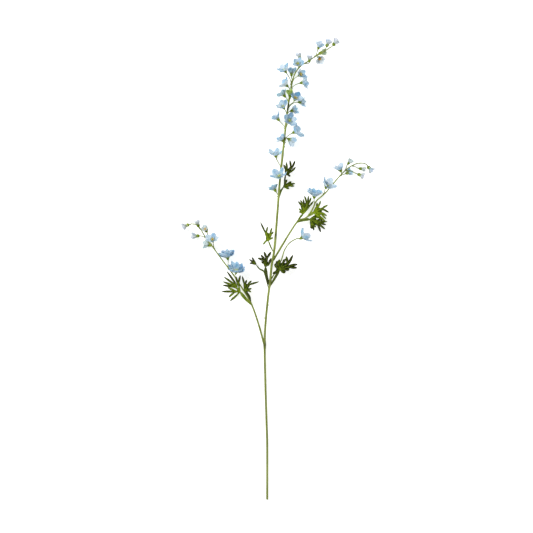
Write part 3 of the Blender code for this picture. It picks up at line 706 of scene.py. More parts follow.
# %% The two cups
CUP_SIDES = 30
CUP_PROFILE = (  # share of the length, radius
    (0.0, 0.62), (0.1, 1.5), (0.28, 2.2), (0.55, 2.62), (0.8, 2.75), (1.0, 2.9))
BUD_CUP_PROFILE = (
    (0.0, 0.62), (0.08, 1.9), (0.25, 3.1), (0.5, 3.9), (0.8, 4.1), (1.0, 4.0))
CUP_POINT = (1.5, 2.3)  # how far its points rise, then flare
BUD_CUP_POINT = (3.0, 0.3)
CUP_WALL = 0.35
CUP_WAVE = 0.05  # how far its five ribs stand out, over the radius
POINT_ROWS, POINT_SHARPNESS = 4, 1.4
CUP_FOOT_SHADE, CUP_SHADE_FALL = 0.7, 1.4


def cup_mesh(profile, point):
    points, shade, ridge = [(0, 0, 0)], [1.0], [0.0]
    rows = len(profile) + POINT_ROWS
    for row in range(rows):
        for side in range(CUP_SIDES):
            turn = side * TURN / CUP_SIDES
            wave = math.cos(PETALS * turn)
            past = max(0, row - len(profile) + 1) / POINT_ROWS
            share, radius = profile[min(row, len(profile) - 1)]
            tip = (0.5 + 0.5 * wave) ** POINT_SHARPNESS
            high = share * CUP_LENGTH + past * point[0] * tip
            wide = radius * (1 + CUP_WAVE * wave * share) + point[1] * past * tip
            points.append((wide * math.cos(turn), wide * math.sin(turn), high))
            shade.append(max(0.0, CUP_FOOT_SHADE - CUP_SHADE_FALL * share))
            ridge.append(wave)
    faces = [(0, 1 + (side + 1) % CUP_SIDES, 1 + side) for side in range(CUP_SIDES)]
    for row in range(rows - 1):
        for side in range(CUP_SIDES):
            here, after = row * CUP_SIDES + side + 1, row * CUP_SIDES + (side + 1) % CUP_SIDES + 1
            faces.append((here, after, after + CUP_SIDES, here + CUP_SIDES))
    return net("cup", points, faces, shade=shade, ridge=ridge)


open_cup = thickened("open_cup", cup_mesh(CUP_PROFILE, CUP_POINT), CUP_WALL, offset=-1)
bud_cup = thickened("bud_cup", cup_mesh(BUD_CUP_PROFILE, BUD_CUP_POINT), CUP_WALL, offset=-1)
print("Faces in one cup:", len(open_cup.data.polygons))

# %% [markdown]
# The same small tree sets out cups and, later, stamens and bracts. Each point carries the way its
# copy faces, how it is turned and its size in each direction.

# %% The tree that sets copies on the plant
def set_on_plant():
    sheet, given = growth_tree("set_on_plant", {"Shape": open_cup, "Turn seed": 3, "Finish": cup_green})
    shape = sheet.add("GeometryNodeObjectInfo", {"Object": given["Shape"]}, "Geometry")
    facing = sheet.add("FunctionNodeAlignRotationToVector", {
        "Vector": sheet.attribute("facing", "FLOAT_VECTOR")}, axis="Z")
    turn = sheet.add("FunctionNodeRandomValue", {2: 0.0, 3: TURN, "Seed": given["Turn seed"]}, 1)
    spin = sheet.add("FunctionNodeAxisAngleToRotation", {"Axis": (0, 0, 1), "Angle": turn})
    turned = sheet.add(
        "FunctionNodeRotateRotation", {0: facing, 1: spin}, rotation_space="LOCAL")
    copies = sheet.add("GeometryNodeInstanceOnPoints", {
        "Points": given["Geometry"], "Instance": shape, "Rotation": turned,
        "Scale": sheet.attribute("size", "FLOAT_VECTOR")})
    end_tree(sheet, copies, given["Finish"])
    return sheet


SETTING_OUT = set_on_plant()


def set_out(name, seed, shape, turn_seed, finish):
    return grown(name, seed, SETTING_OUT, {"Shape": shape, "Turn seed": turn_seed, "Finish": finish})


CUP_WIDTHS = (0.95, 1.2)  # of the least open bloom and of a full one
BUD_CUP_WIDTHS = (0.82, 1.05)
BIG_CUPS = {"left_06": 1.4, "right_06": 1.2, "right_07": 1.25, "left_03": 1.2}
BUD_OPENING = 0.32  # a bloom shut tighter than this is a bud


def cups(name, shape, chosen, widths, widest):
    feet = [bloom.base - bloom.axis * (CUP_GAP + CUP_LENGTH) for bloom in chosen]
    girths = [mix(*widths, bloom.opening / widest) * BIG_CUPS.get(bloom.name, 1.0) for bloom in chosen]
    seed = net(name, feet, facing=[bloom.axis for bloom in chosen],
               size=[(girth, girth, mix(0.9, 1.0, girth)) for girth in girths])
    return set_out(name, seed, shape, 3, cup_green)


buds = [bloom for bloom in blooms if bloom.opening < BUD_OPENING]
flowers = [bloom for bloom in blooms if bloom.opening >= BUD_OPENING]
finished(cups("cups_of_flowers", open_cup, flowers, CUP_WIDTHS, 1.0), "stem")
finished(cups("cups_of_buds", bud_cup, buds, BUD_CUP_WIDTHS, BUD_OPENING), "stem")

# %% [markdown]
# Where a flower stalk leaves its stem stands a bract, a small pointed scale. It is drawn as a narrow
# sheet that bends outwards, given its thickness, and set out by the same tree.

# %% Bracts
BRACT_LENGTH, BRACT_BEND, BRACT_WALL = 5.0, 0.9, 0.3
BRACT_HALF_WIDTHS = (0.5, 0.85, 0.9, 0.75, 0.45, 0.08)  # from its foot to its point
BRACT_LEAN = 0.8  # how far it stands off the stem
BRACT_HOLLOW, BRACT_SHADE = 0.35, 0.15
BRACT_SEAT = 0.8  # how far from the stem's middle it sits, over the stem's radius
BRACT_STEPS = 3  # how far along the flower stalk it looks, to stand on the side where that leaves
LONE_BRACTS = ((398.0, (-1.0, 0.6, 0.3)), (352.0, (-0.6, 1.0, 0.2)), (428.0, (0.7, 1.0, 0.4)))


def quads(columns, rows):
    """The faces of a square net, whose corners are numbered row by row."""
    wide = columns + 1
    corners = [row * wide + column for row in range(rows) for column in range(columns)]
    return [(c, c + 1, c + 1 + wide, c + wide) for c in corners]


def bract_mesh():
    points, last = [], len(BRACT_HALF_WIDTHS) - 1
    for row, half in enumerate(BRACT_HALF_WIDTHS):
        share = row / last
        hollow = BRACT_HOLLOW * half
        points += [(side * half, BRACT_BEND * share**2 + hollow * side * side, BRACT_LENGTH * share)
                   for side in (-1, 0, 1)]
    return net("bract", points, quads(2, last), shade=np.full(len(points), BRACT_SHADE),
               ridge=np.zeros(len(points)))


def bract_seats():
    """Where bracts stand and which way they point: one to a flower stalk, and a few on the bare stem."""
    seats = []
    for bloom, (line, *_) in zip(blooms, stalks):
        stem = stem_of(bloom)
        step = nearest_step(stem, line[0])
        along = direction(stem, step)
        away = line[BRACT_STEPS] - line[0]
        away -= along * away.dot(along)
        away /= max(norm(away), 1e-6)
        seats.append((line[0] + away * stem.radius[step] * BRACT_SEAT, along + away * BRACT_LEAN))
    for y, aim in LONE_BRACTS:
        stem = stems["main"]
        step = int(abs(stem.line[:, 1] - y).argmin())
        side = np.array([math.copysign(1, aim[0]), 0, 0])
        seats.append((stem.line[step] + side * stem.radius[step] * BRACT_SEAT, np.array(aim)))
    return seats


bract = thickened("bract", bract_mesh(), BRACT_WALL)
seats = bract_seats()
seed = net("bracts", [Vector(foot) + ON_TABLE for foot, _ in seats],
           facing=[aim for _, aim in seats], size=np.ones((len(seats), 3)))
finished(set_out("bracts", seed, bract, 8, cup_green), "stem")
bpy.data.objects.remove(bract)

# %% [markdown]
# ## Petals
# Each petal is one thin sheet: narrow at its root, broad beyond the middle and round at its end. A
# flat pattern is cut first, a square net whose far half is drawn round like a disc. Then it is bent:
# its middle line runs out and up like the side of a bowl to the tip of the solid's petal, its sides
# wrap round the bloom, and its rim is waved. Last, the sheet gets its thickness.

# %% Cut the flat pattern
PETAL_COLUMNS, PETAL_ROWS = 14, 16
BROADEST_AT = 0.58  # share of the length
ROOT_WIDTH, SHOULDER = 0.3, 1.15  # a higher shoulder keeps the petal narrow for longer
TIP_NARROWING = 0.16


def petal_pattern():
    """For each corner of the net, its place across and along the petal, then the faces."""
    across, along = [], []
    for row in range(PETAL_ROWS + 1):
        b = 2 * row / PETAL_ROWS - 1
        for column in range(PETAL_COLUMNS + 1):
            a = 2 * column / PETAL_COLUMNS - 1
            if b <= 0:
                width = mix(ROOT_WIDTH, 1.0, math.sin((1 + b) * math.pi / 2) ** SHOULDER)
                across.append(a * width)
                along.append(BROADEST_AT * (1 + b))
            else:
                across.append(a * math.sqrt(1 - b * b / 2) * (1 - TIP_NARROWING * b * b))
                along.append(BROADEST_AT + (1 - BROADEST_AT) * b * math.sqrt(1 - a * a / 2))
    return np.array(across), np.array(along), quads(PETAL_COLUMNS, PETAL_ROWS)


ACROSS, ALONG, PETAL_FACES = petal_pattern()
print("Corners in one petal:", len(ACROSS))

# %% [markdown]
# Most numbers of the bend come in pairs, for a tight bud and for a full bloom, and each bloom lies
# between the two by how open it is. A random draw then sets its petals a little apart.

# %% How a petal bends
BROADEST = ((0.58, 0.34), (0.72, 0.52))  # half-width over length: least in a bud and a bloom, then most
LAP_ROOM = (1.35, 0.7)  # half-width over the distance from the bloom's middle, bud then bloom
BOWL = (24.0, 20.0)  # degrees that the root leans out and the tip leans in, bud then bloom
LEAN = 11.0  # degrees that one petal of a full bloom may be off the rest
POINTED, POINTED_FROM = 0.75, 0.5  # how far a petal's end may narrow, and from where
ROUND_BLOOMS = ("right_06", "right_07", "main_20", "main_24", "main_25",
                "main_26", "main_27", "stalk_01")
ROUND_POINTED, ROUND_WIDTH = 0.15, 0.84  # their petals are round at the end and stand apart
LAP, LAP_SPREAD = 0.1, 0.2  # how far one edge stands over its neighbour, over half-width
RUFFLE = (0.015, 0.06)  # height of the waves on the rim over the length, bud then full
RIM_FROM, RIM_WAVES, WAVE_PITCH = 0.3, (2.4, 3.8), 1.7
CREASE, CREASE_WIDTH = 0.025, 0.16  # down the middle, over the length and over the half-width
TIP_WRAP = 0.6  # how far the end still follows the round of the bloom
CURL = (-0.04, -0.02)  # how far the end leans in, over the length
CURL_SPREAD = 0.08
INNER_RING = 0.55  # the ring that the inner petals join in, over the outer one
ROWS_ALONG = slice(None, None, PETAL_COLUMNS + 1)
print("Blooms with round petals:", ", ".join(ROUND_BLOOMS))

# %% [markdown]
# The bending goes from the bloom's middle outwards. The petal's middle line is an arc that ends near
# the solid's tip, its two sides follow the round of the bloom, and the rim, the lap over the next
# petal and a faint crease are added along the normal.

# %% Bend one petal
def petal_sheet(bloom, tip, draw, ring_share=1.0):
    """The corners of one petal in millimetres, as it stands on the bloom."""
    axis = np.array(bloom.axis)
    rise = (tip - bloom.base).dot(bloom.axis)
    out = np.array(tip - bloom.base) - axis * rise
    reach = norm(out)
    out /= reach
    side = np.cross(axis, out)
    ring = mix(*RING_RADIUS, bloom.opening) * ring_share
    mean = math.atan2(rise - RING_HEIGHT, reach - ring)
    mean += math.radians(draw.uniform(-LEAN, LEAN)) * bloom.opening
    bend = math.radians(mix(*BOWL, bloom.opening))
    length = math.hypot(rise - RING_HEIGHT, reach - ring) * bend / math.sin(bend)
    slope = mean - bend + 2 * bend * ALONG
    far = ring + length * (np.sin(slope) - math.sin(mean - bend)) / (2 * bend)
    high = RING_HEIGHT - length * (np.cos(slope) - math.cos(mean - bend)) / (2 * bend)
    lap_room = mix(*LAP_ROOM, bloom.opening)
    at_broadest = np.interp(BROADEST_AT, ALONG[ROWS_ALONG], far[ROWS_ALONG])
    broad = draw.uniform(*(mix(*ends, bloom.opening) for ends in BROADEST))
    is_round = bloom.name in ROUND_BLOOMS
    half = min(broad * length, lap_room * at_broadest) * (ROUND_WIDTH if is_round else 1.0)
    room = np.where(ALONG < BROADEST_AT, lap_room * far, half)
    end = smoothstep((ALONG - POINTED_FROM) / (1 - POINTED_FROM))
    point = 1 - draw.uniform(0, ROUND_POINTED if is_round else POINTED) * end
    aside = np.clip(half * ACROSS * point, -room, room)
    wrap = np.sin(slope) / far * mix(1.0, TIP_WRAP, ALONG)
    sideways = np.sin(wrap * aside) / wrap
    lap = LAP + draw.uniform(-LAP_SPREAD, LAP_SPREAD) * bloom.opening
    inwards = (1 - np.cos(wrap * aside)) / wrap + lap * aside * smoothstep(ALONG * 2)
    phase, waves = draw.uniform(0, TURN), draw.uniform(*RIM_WAVES)
    rim = np.clip(np.hypot(ACROSS, np.maximum(ALONG - RIM_FROM, 0)), 0, 1) ** 3
    wave = np.sin(phase + waves * (ACROSS + ALONG) * WAVE_PITCH)
    inwards += mix(*RUFFLE, bloom.opening) * length * rim * wave
    curl = mix(*CURL, bloom.opening) + draw.uniform(-CURL_SPREAD, CURL_SPREAD) * bloom.opening
    inwards += curl * length * end**2
    inwards -= CREASE * length * np.exp(-(ACROSS / CREASE_WIDTH) ** 2) * ALONG * (1 - ALONG) * 4
    normal = axis * np.cos(slope)[:, None] - out * np.sin(slope)[:, None]
    points = axis * high[:, None] + out * far[:, None] + side * sideways[:, None]
    return points + normal * inwards[:, None] + np.array(bloom.base)


sample = petal_sheet(blooms[0], blooms[0].tips[0], random.Random(SEED))
print("A petal of the tip bud reaches, in mm:", np.ptp(sample, axis=0).round(1))

# %% [markdown]
# No two blooms have the same blue. Most vary a little round one tone, a few are listed one by one: fresh
# ones are still green, one or two have a single deep petal, and the largest stand double.

# %% How the blooms differ
TONE, TONE_SPREAD = 0.34, 0.4  # 0 is pale and 1 is deep blue
BLOOM_TONES = {
    "main_16": 0.4, "main_21": 0.5, "main_13": 0.15, "main_09": 0.2,
    "main_05": -0.5, "left_03": -0.5, "left_06": -0.3, "right_04": -0.4,
    "right_05": 0.6, "left_07": 0.46, "left_08": 0.44}
GREEN_BLOOMS = {  # how much of a young bud's green its petals still have
    "main_04": 0.6, "main_15": 1.0, "right_02": 0.25, "right_04": 0.2,
    "left_06": 0.2, "main_14": 0.2, "left_03": 0.1,
    "main_27": 0.12}
DEEP_PETALS = {  # the way that a bloom's one deep blue petal points, and how deep it is
    "main_16": ((0.1, 1.0), 1.1), "main_21": ((-0.2, 1.0), 0.85)}
INNER_OPENING = 0.42  # a bloom more open than this shows its inner petals
INNER_REACH, INNER_RISE = 0.45, 0.5  # of the inner petals, over the outer ones
DOUBLE_BLOOMS = ("left_07", "left_08", "right_08", "main_27")
DOUBLE_REACH, DOUBLE_RISE = 0.85, 1.05  # where the inner petals stand up between the outer ones
INNER_TONE, DOUBLE_TONE, INNER_TONE_SPREAD = 0.05, 0.3, (-0.1, 0.25)
print("Blooms with a tone of their own:", len(BLOOM_TONES))

# %% [markdown]
# A petal that would dip below the table bends along it instead. The dip is eased out with a curve
# that leaves everything above `EASE_FROM` alone and brings the rest down to just over the table.
# Between the large petals stand smaller ones, and a shallow funnel closes the middle.

# %% Build the corollas
PETAL_THICKNESS = 0.26
EASE_FROM, TABLE_CLEARANCE = 1.2, 0.25
THROAT_SIDES, THROAT_WIDTH, THROAT_HEIGHTS = 12, 1.2, (0.7, 1.5)  # over the ring, and of middle and rim


def eased(height):
    """Heights over the table, with any dip below it bent flat."""
    room = EASE_FROM - TABLE_CLEARANCE
    bent = TABLE_CLEARANCE + room * np.exp((height - EASE_FROM) / room)
    return np.where(height < EASE_FROM, bent, height)


def around(bloom, turn):
    """The way out from the bloom's axis at this turn."""
    first = bloom.axis.orthogonal().normalized()
    return first * math.cos(turn) + bloom.axis.cross(first) * math.sin(turn)


def throat(bloom, count):
    """A shallow funnel that closes the middle of the bloom: its points and its faces."""
    ring = mix(*RING_RADIUS, bloom.opening) * THROAT_WIDTH
    middle, high = (bloom.base + bloom.axis * height for height in THROAT_HEIGHTS)
    corners = range(THROAT_SIDES)
    rim = [high + around(bloom, corner * TURN / THROAT_SIDES) * ring for corner in corners]
    faces = [(count, count + 1 + corner, count + 1 + (corner + 1) % THROAT_SIDES) for corner in corners]
    return [middle, *rim], faces


def inner_tips(bloom):
    """The tips of the small petals that stand between the large ones, nearer the middle."""
    tips = []
    for one, other in zip(bloom.tips, bloom.tips[1:] + bloom.tips[:1]):
        middle = (one + other) / 2 - bloom.base
        rise = middle.dot(bloom.axis)
        out = (middle - bloom.axis * rise).normalized() * bloom.width / 2
        double = bloom.name in DOUBLE_BLOOMS
        reach, share = (DOUBLE_REACH, DOUBLE_RISE) if double else (INNER_REACH, INNER_RISE)
        tips.append(bloom.base + out * reach + bloom.axis * rise * share)
    return tips


def corolla(bloom):
    draw = random.Random(f"{SEED} {BLOOM}{bloom.name}")
    points, faces, along, across, tone = [], [], [], [], []
    mean_tone = BLOOM_TONES.get(bloom.name, TONE)
    tips = [(tip, mean_tone + draw.uniform(-TONE_SPREAD, TONE_SPREAD), 1.0) for tip in bloom.tips]
    if bloom.name in DEEP_PETALS:
        aim, deep_tone = DEEP_PETALS[bloom.name]
        number = max(range(PETALS), key=lambda petal: tips[petal][0].xy.dot(Vector(aim)))
        tips[number] = (tips[number][0], deep_tone, 1.0)
    if bloom.opening > INNER_OPENING:
        inner_tone = DOUBLE_TONE if bloom.name in DOUBLE_BLOOMS else INNER_TONE
        tips += [(tip, inner_tone + draw.uniform(*INNER_TONE_SPREAD), INNER_RING)
                 for tip in inner_tips(bloom)]
    for tip, petal_tone, ring_share in tips:
        faces += [tuple(len(points) + corner for corner in face) for face in PETAL_FACES]
        sheet = petal_sheet(bloom, tip, draw, ring_share)
        sheet[:, 2] = eased(sheet[:, 2])
        points += [Vector(point) for point in sheet]
        along += list(ALONG)
        across += list(ACROSS)
        tone += [petal_tone] * len(ALONG)
    more, more_faces = throat(bloom, len(points))
    points, faces = [*points, *more], [*faces, *more_faces]
    along, across, tone = [values + [0.0] * len(more) for values in (along, across, tone)]
    fresh = np.full(len(points), GREEN_BLOOMS.get(bloom.name, 0.0))
    mesh = net("corolla", points, faces, along=along, across=across, tone=tone, fresh=fresh)
    pale = bloom.opening < BUD_OPENING
    mesh.materials.append(bud_pale if pale else petal_blue)
    piece = thickened("petals_" + bloom.name, mesh, PETAL_THICKNESS)
    finished(piece, "buds" if pale else "petals", BLOOM + bloom.name, sharp=60)


for bloom in blooms:
    corolla(bloom)

# %% [markdown]
# ## Stamens
# In the throat of an open bloom stands a tuft of short threads with round heads, green-yellow in
# most blooms and orange in a few. They sit in the spiral of a sunflower's seeds, where each next one
# is turned by the golden angle. One thread is modelled, and the tree above sets the copies.

# %% Stamens
GOLDEN = math.pi * (3 - math.sqrt(5))  # the golden angle
STAMENS = 17
STAMEN_LENGTH, STAMEN_RADII, STAMEN_HEAD, HEAD_STRETCH = 4.0, (0.22, 0.14), 0.7, 1.35
STAMEN_SPREAD, STAMEN_LEAN, STAMEN_FOOT = 1.56, 0.55, 0.9
STAMEN_SIZES, STAMEN_SIZE_SPREAD = (0.6, 1.0), (0.8, 1.1)
WARMTH_SPREAD = 0.12
WARM_EYES = {"main_05": 1.0, "main_11": 0.5, "main_08": 0.15,
             "main_16": 0.5, "left_03": 0.9, "left_05": 0.6}
BIG_TUFTS = {"main_05": 1.4, "left_03": 1.35, "main_16": 1.2, "main_11": 1.15}
OPEN_ENOUGH = 0.35


def stamen_mesh():
    """A thread that thins upwards, with a round head on it, closed at both ends."""
    shape = bmesh.new()
    foot, top = (radius * MM for radius in STAMEN_RADII)
    bmesh.ops.create_cone(
        shape, cap_ends=True, segments=5, radius1=foot, radius2=top, depth=STAMEN_LENGTH * MM)
    bmesh.ops.translate(shape, verts=shape.verts, vec=(0, 0, STAMEN_LENGTH * MM / 2))
    thread = len(shape.verts)
    bmesh.ops.create_icosphere(shape, subdivisions=1, radius=STAMEN_HEAD * MM)
    shape.verts.ensure_lookup_table()
    head = shape.verts[thread:]
    for corner in head:
        corner.co.z = corner.co.z * HEAD_STRETCH + STAMEN_LENGTH * MM
    mesh = bpy.data.meshes.new("stamen")
    shape.to_mesh(mesh)
    shape.free()
    values = [0.0] * thread + [1.0] * (len(mesh.vertices) - thread)
    mesh.attributes.new("head", "FLOAT", "POINT").data.foreach_set("value", values)
    return mesh


def stamens(one_stamen):
    points, facing, size, warmth = [], [], [], []
    draw = random.Random(SEED)
    for bloom in (bloom for bloom in blooms if bloom.opening > OPEN_ENOUGH):
        for number in range(STAMENS):
            aside = around(bloom, number * GOLDEN) * math.sqrt((number + 0.5) / STAMENS)
            points.append(bloom.base + bloom.axis * STAMEN_FOOT + aside * STAMEN_SPREAD)
            facing.append((bloom.axis + aside * STAMEN_LEAN).normalized())
            tall = mix(*STAMEN_SIZES, bloom.opening) * draw.uniform(*STAMEN_SIZE_SPREAD)
            size.append([tall * BIG_TUFTS.get(bloom.name, 1.0)] * 3)
            warmth.append(WARM_EYES.get(bloom.name, 0.0) + draw.uniform(0, WARMTH_SPREAD))
    seed = net("stamens", points, facing=facing, size=size, warmth=warmth)
    return set_out("stamens", seed, one_stamen, 5, stamen_yellow)


one_stamen = new_object("one_stamen", stamen_mesh())
finished(stamens(one_stamen), "petals")
bpy.data.objects.remove(one_stamen)

# %% [markdown]
# ## Leaves
# A delphinium leaf is a hand: lobes spread from a hub on a long stalk, and each lobe splits into
# narrow fingers. The outline could be drawn point by point, but it is simpler to lay a ribbon along
# every rib and let a triangulation join them: the ribbons' union is the leaf. Each corner then knows
# its nearest rib, so the blade can fold along it and the finish can lighten it.
#
# The table below says, for each leaf, which stem it is on and where it leaves that, the points that
# its stalk passes, its hub and the hub's height, how it rises to the right and up the plant, and for
# each lobe the place of its split and the tips of its fingers.

# %% Where the leaves are
Leaf = namedtuple("Leaf", "shoot root passing hub height rise divisions")
Make = namedtuple("Make", "stalk finger depth")
MAKES = {  # width of the stalk, half-width of a finger, and how dark the green is, from 0 to 1
    "left_a": Make(6.8, 2.3, 0.62), "left_b": Make(5.6, 2.1, 0.75), "fork_a": Make(7.2, 2.6, 1.0),
    "fork_b": Make(5.8, 2.8, 0.88), "fork_c": Make(3.4, 1.9, 0.85), "upper": Make(3.0, 1.9, 0.45),
    "right_a": Make(4.2, 2.0, 0.5), "right_b": Make(7.4, 2.1, 0.35), "right_c": Make(6.4, 2.3, 0.6),
    "spike_a": Make(3.6, 2.2, 0.95), "spike_b": Make(3.2, 2.2, 0.5),
}
LEAVES = {
    "left_a": Leaf("left", (-36, 434), ((-49, 445),), (-60, 459), 25, (0.14, 0.0), (
        ((-68, 450), ((-82, 438),)),
        ((-74, 459), ((-85, 446), (-101, 459), (-87, 468))),
        ((-73, 473), ((-98, 473), (-98, 481), (-96, 492), (-89, 504))),
        ((-64, 479), ((-69, 493), (-59, 495))),
    )),
    "left_b": Leaf("left", (-38, 438), ((-40, 449),), (-49, 461), 22.5, (-0.12, 0.0), (
        ((-49, 477), ((-55, 493), (-45, 485))),
        ((-40, 475), ((-34, 483), (-17, 481))),
        ((-41, 462), ((-34, 466), (-35, 458))),
    )),
    "fork_a": Leaf("main", (5, 478), ((-2, 494),), (-4, 514), 25, (0.0, 0.05), (
        ((-7, 522), ((-13, 524),)),
        ((-7, 528), ((-21, 533), (-14, 540))),
        ((-1, 534), ((-7, 547), (9, 547))),
        ((3, 519), ((9, 533),)),
    )),
    "fork_b": Leaf("main", (6, 476), ((17, 489),), (28, 508), 27, (-0.12, 0.04), (
        ((19, 502), ((12, 498),)),
        ((20, 513), ((17, 521),)),
        ((24, 521), ((20, 526), (27, 530))),
        ((35, 523), ((40, 531),)),
        ((45, 521), ((42, 537), (57, 540))),
        ((50, 514), ((67, 519), (66, 511))),
        ((42, 507), ((49, 508),)),
        ((34, 502), ((41, 502),)),
    )),
    "fork_c": Leaf("main", (4, 466), ((-4, 494), (-8, 504), (-17, 509)), (-25, 519), 13, (0.1, 0.0), (
        ((-31, 524), ((-39, 521), (-40, 530), (-34, 535))),
    )),
    "upper": Leaf("main", (14.6, 546), ((8, 557),), (2, 572), 27, (0.1, 0.05), (
        ((-3, 570), ((-9, 562),)),
        ((-3, 590), ((-15, 612), (1, 602))),
        ((8, 586), ((11, 600), (14, 591))),
        ((8, 575), ((13, 578),)),
    )),
    "right_a": Leaf("right", (69, 615), ((73, 623),), (80, 631), 21, (-0.06, 0.05), (
        ((75, 634.5), ((70, 635), (69, 642))),
        ((78, 649), ((68, 658), (73, 661), (79, 663))),
        ((89, 655), ((82, 670), (91, 670), (97, 667))),
        ((94, 648), ((102, 658),)),
    )),
    "right_b": Leaf("right", (93, 629), (), (102, 633), 26, (-0.05, 0.08), (
        ((110, 645), ((110, 655), (118, 659))),
        ((122, 641), ((134, 650), (136, 633))),
        ((119, 631), ((132, 625), (130, 618))),
        ((115, 623), ((129, 612), (125, 608))),
    )),
    "right_c": Leaf("right", (69, 613), ((82, 617),), (95, 618), 16, (-0.05, 0.0), (
        ((106, 624), ((115, 631), (121, 623))),
        ((110, 614), ((122, 621), (133, 613))),
        ((114, 607), ((130, 606), (128, 596), (118, 589))),
        ((100, 604), ((107, 600), (103, 593), (97, 597))),
    )),
    "spike_a": Leaf("main", (27, 682), ((37, 691), (39, 707)), (41, 718), 20, (0.05, 0.05), (
        ((42, 728), ((36, 739), (42, 744))),
        ((53, 732), ((50, 748), (62, 748))),
        ((53, 723), ((63, 733),)),
        ((47, 715), ((51, 712),)),
    )),
    "spike_b": Leaf("main", (25.5, 670), ((31, 681),), (37, 690), 15, (0.0, 0.1), (
        ((40, 698), ((44, 706),)),
        ((49, 695), ((54, 701), (62, 697), (60, 691))),
        ((43, 687), ((49, 686),)),
    )),
}
fingers = sum(len(tips) for leaf in LEAVES.values() for _, tips in leaf.divisions)
print("Leaves:", len(LEAVES), "with", fingers, "fingers")

# %% [markdown]
# Each finger is one ribbon from the hub, through the split of its lobe, to its tip, and each lobe is
# a short wide one that fills the palm. A ribbon keeps its half-width at every step, so the leaf's
# edge follows from it.

# %% Lay the ribbons
FINGER_PITCH = 3.2
OPEN_PALMS = {"left_a": 0.45}  # leaves whose lobes stand apart: how wide the lobes and webs are then
RIB_STEP, RIBBON_STEPS = 0.8, 10
HUB_HALF_WIDTH = 1.9
FINGER_ROOT, FINGER_BELLY = 0.84, 0.26  # width where a finger starts, and what its middle adds
LOBE_PLACES = (0, 0.45, 0.85, 1)  # the hub, the neck, near the split and the split
LOBE_WIDTHS = (1.7, 1.4)  # half-width near a split and at it, for each finger
NECK = (1.5, 0.7, 3.4)  # of a lobe: half-width, more for each finger, and at most
FINGER_CURL, DEPTH_SPREAD = 1.3, 0.35
Ribbon = namedtuple("Ribbon", "line half tip_share curl depth")


def evenly(line, step):
    """The same line with a point every so many millimetres."""
    length = run_length(line)
    wanted = np.linspace(0, length[-1], max(4, round(length[-1] / step)))
    return np.column_stack([np.interp(wanted, length, line[:, axis]) for axis in (0, 1)])


def finger_ribbon(hub, split, aside, tip, widest, draw):
    """From the hub through the split to one tip: narrow, then the finger's own long oval."""
    middle = mix(hub, split, 0.5)
    line = evenly(smooth_line([hub, middle, split + aside, tip], RIBBON_STEPS), RIB_STEP)
    share = share_along(line)
    start = norm(split - hub) / run_length(line)[-1]
    finger = np.clip((share - start) / (1 - start), 0, 1)
    oval = np.maximum(1 - finger**4, 0) ** 0.6 * (FINGER_ROOT + FINGER_BELLY * np.sin(math.pi * finger))
    half = np.where(share < start, mix(HUB_HALF_WIDTH, FINGER_ROOT * widest, share / start), widest * oval)
    curl, depth = (draw.uniform(-spread, spread) for spread in (FINGER_CURL, DEPTH_SPREAD))
    return Ribbon(line, half, finger, curl, depth)


def lobe_ribbon(hub, split, fingers, fullness):
    line = evenly(smooth_line([hub, split], RIBBON_STEPS), RIB_STEP)
    share = np.linspace(0, 1, len(line))
    neck = min(NECK[2], NECK[0] + NECK[1] * fingers)
    widths = (HUB_HALF_WIDTH, neck, *(width * fingers for width in LOBE_WIDTHS))
    half = np.interp(share, LOBE_PLACES, widths) * fullness
    return Ribbon(line, half, np.zeros(len(line)), 0.0, 0.0)


def leaf_ribbons(name, leaf, draw):
    hub, ribbons = np.array(leaf.hub, float), []
    for split, tips in leaf.divisions:
        split = np.array(split, float)
        along = (split - hub) / norm(split - hub)
        right = np.array([along[1], -along[0]])
        ribbons.append(lobe_ribbon(hub, split, len(tips), OPEN_PALMS.get(name, 1.0)))
        for number, tip in enumerate(tips):
            aside = right * FINGER_PITCH * (number + 0.5 - len(tips) / 2)
            ribbons.append(finger_ribbon(hub, split, aside, np.array(tip, float), MAKES[name].finger, draw))
    return ribbons


print("Leaves with an open palm:", ", ".join(OPEN_PALMS))

# %% [markdown]
# The ribbons overlap, and a leaf is one skin. A constrained triangulation takes all their edges at
# once, and only the triangles that lie on a ribbon or on a web between two lobes are kept. Points
# on each rib and half way to its edges are added, so that the skin can fold along its ribs.

# %% Join the ribbons into one skin
WIDEST_WEB = math.cos(math.radians(110))  # lobes further apart than this have no web between them
LONGEST_EDGE = 8.0  # a triangle longer than this isn't a part of the leaf
MERGE = 0.02  # corners nearer than this become one


def palm_webs(name, leaf):
    """The triangles between neighbouring lobes that make one palm of them."""
    hub = np.array(leaf.hub, float)
    sides = [(np.array(split) - hub) * OPEN_PALMS.get(name, 1.0) for split, _ in leaf.divisions]
    return [np.array([hub, hub + one, hub + other]) for one, other in zip(sides, sides[1:])
            if one.dot(other) > WIDEST_WEB * norm(one) * norm(other)]


def edge_points(ribbon, share):
    """The points that lie this share of the half-width off the rib, left or right."""
    along = np.gradient(ribbon.line, axis=0)
    along /= norm(along, axis=1)[:, None]
    right = np.column_stack([along[:, 1], -along[:, 0]])
    return ribbon.line + right * (ribbon.half * share)[:, None]


def on_ribbon(ribbon, points):
    """Which points are nearer to the rib than the ribbon's half-width there."""
    start, step = ribbon.line[:-1], np.diff(ribbon.line, axis=0)
    away = points[:, None] - start
    share = np.clip((away * step).sum(axis=2) / (step**2).sum(axis=1), 0, 1)
    apart = norm(away - share[..., None] * step, axis=2)
    return (apart < mix(ribbon.half[:-1], ribbon.half[1:], share)).any(axis=1)


def on_web(web, points):
    sides = np.roll(web, -1, axis=0) - web
    away = points[:, None] - web
    turns = sides[:, 0] * away[..., 1] - sides[:, 1] * away[..., 0]
    return (turns > 0).all(axis=1) | (turns < 0).all(axis=1)


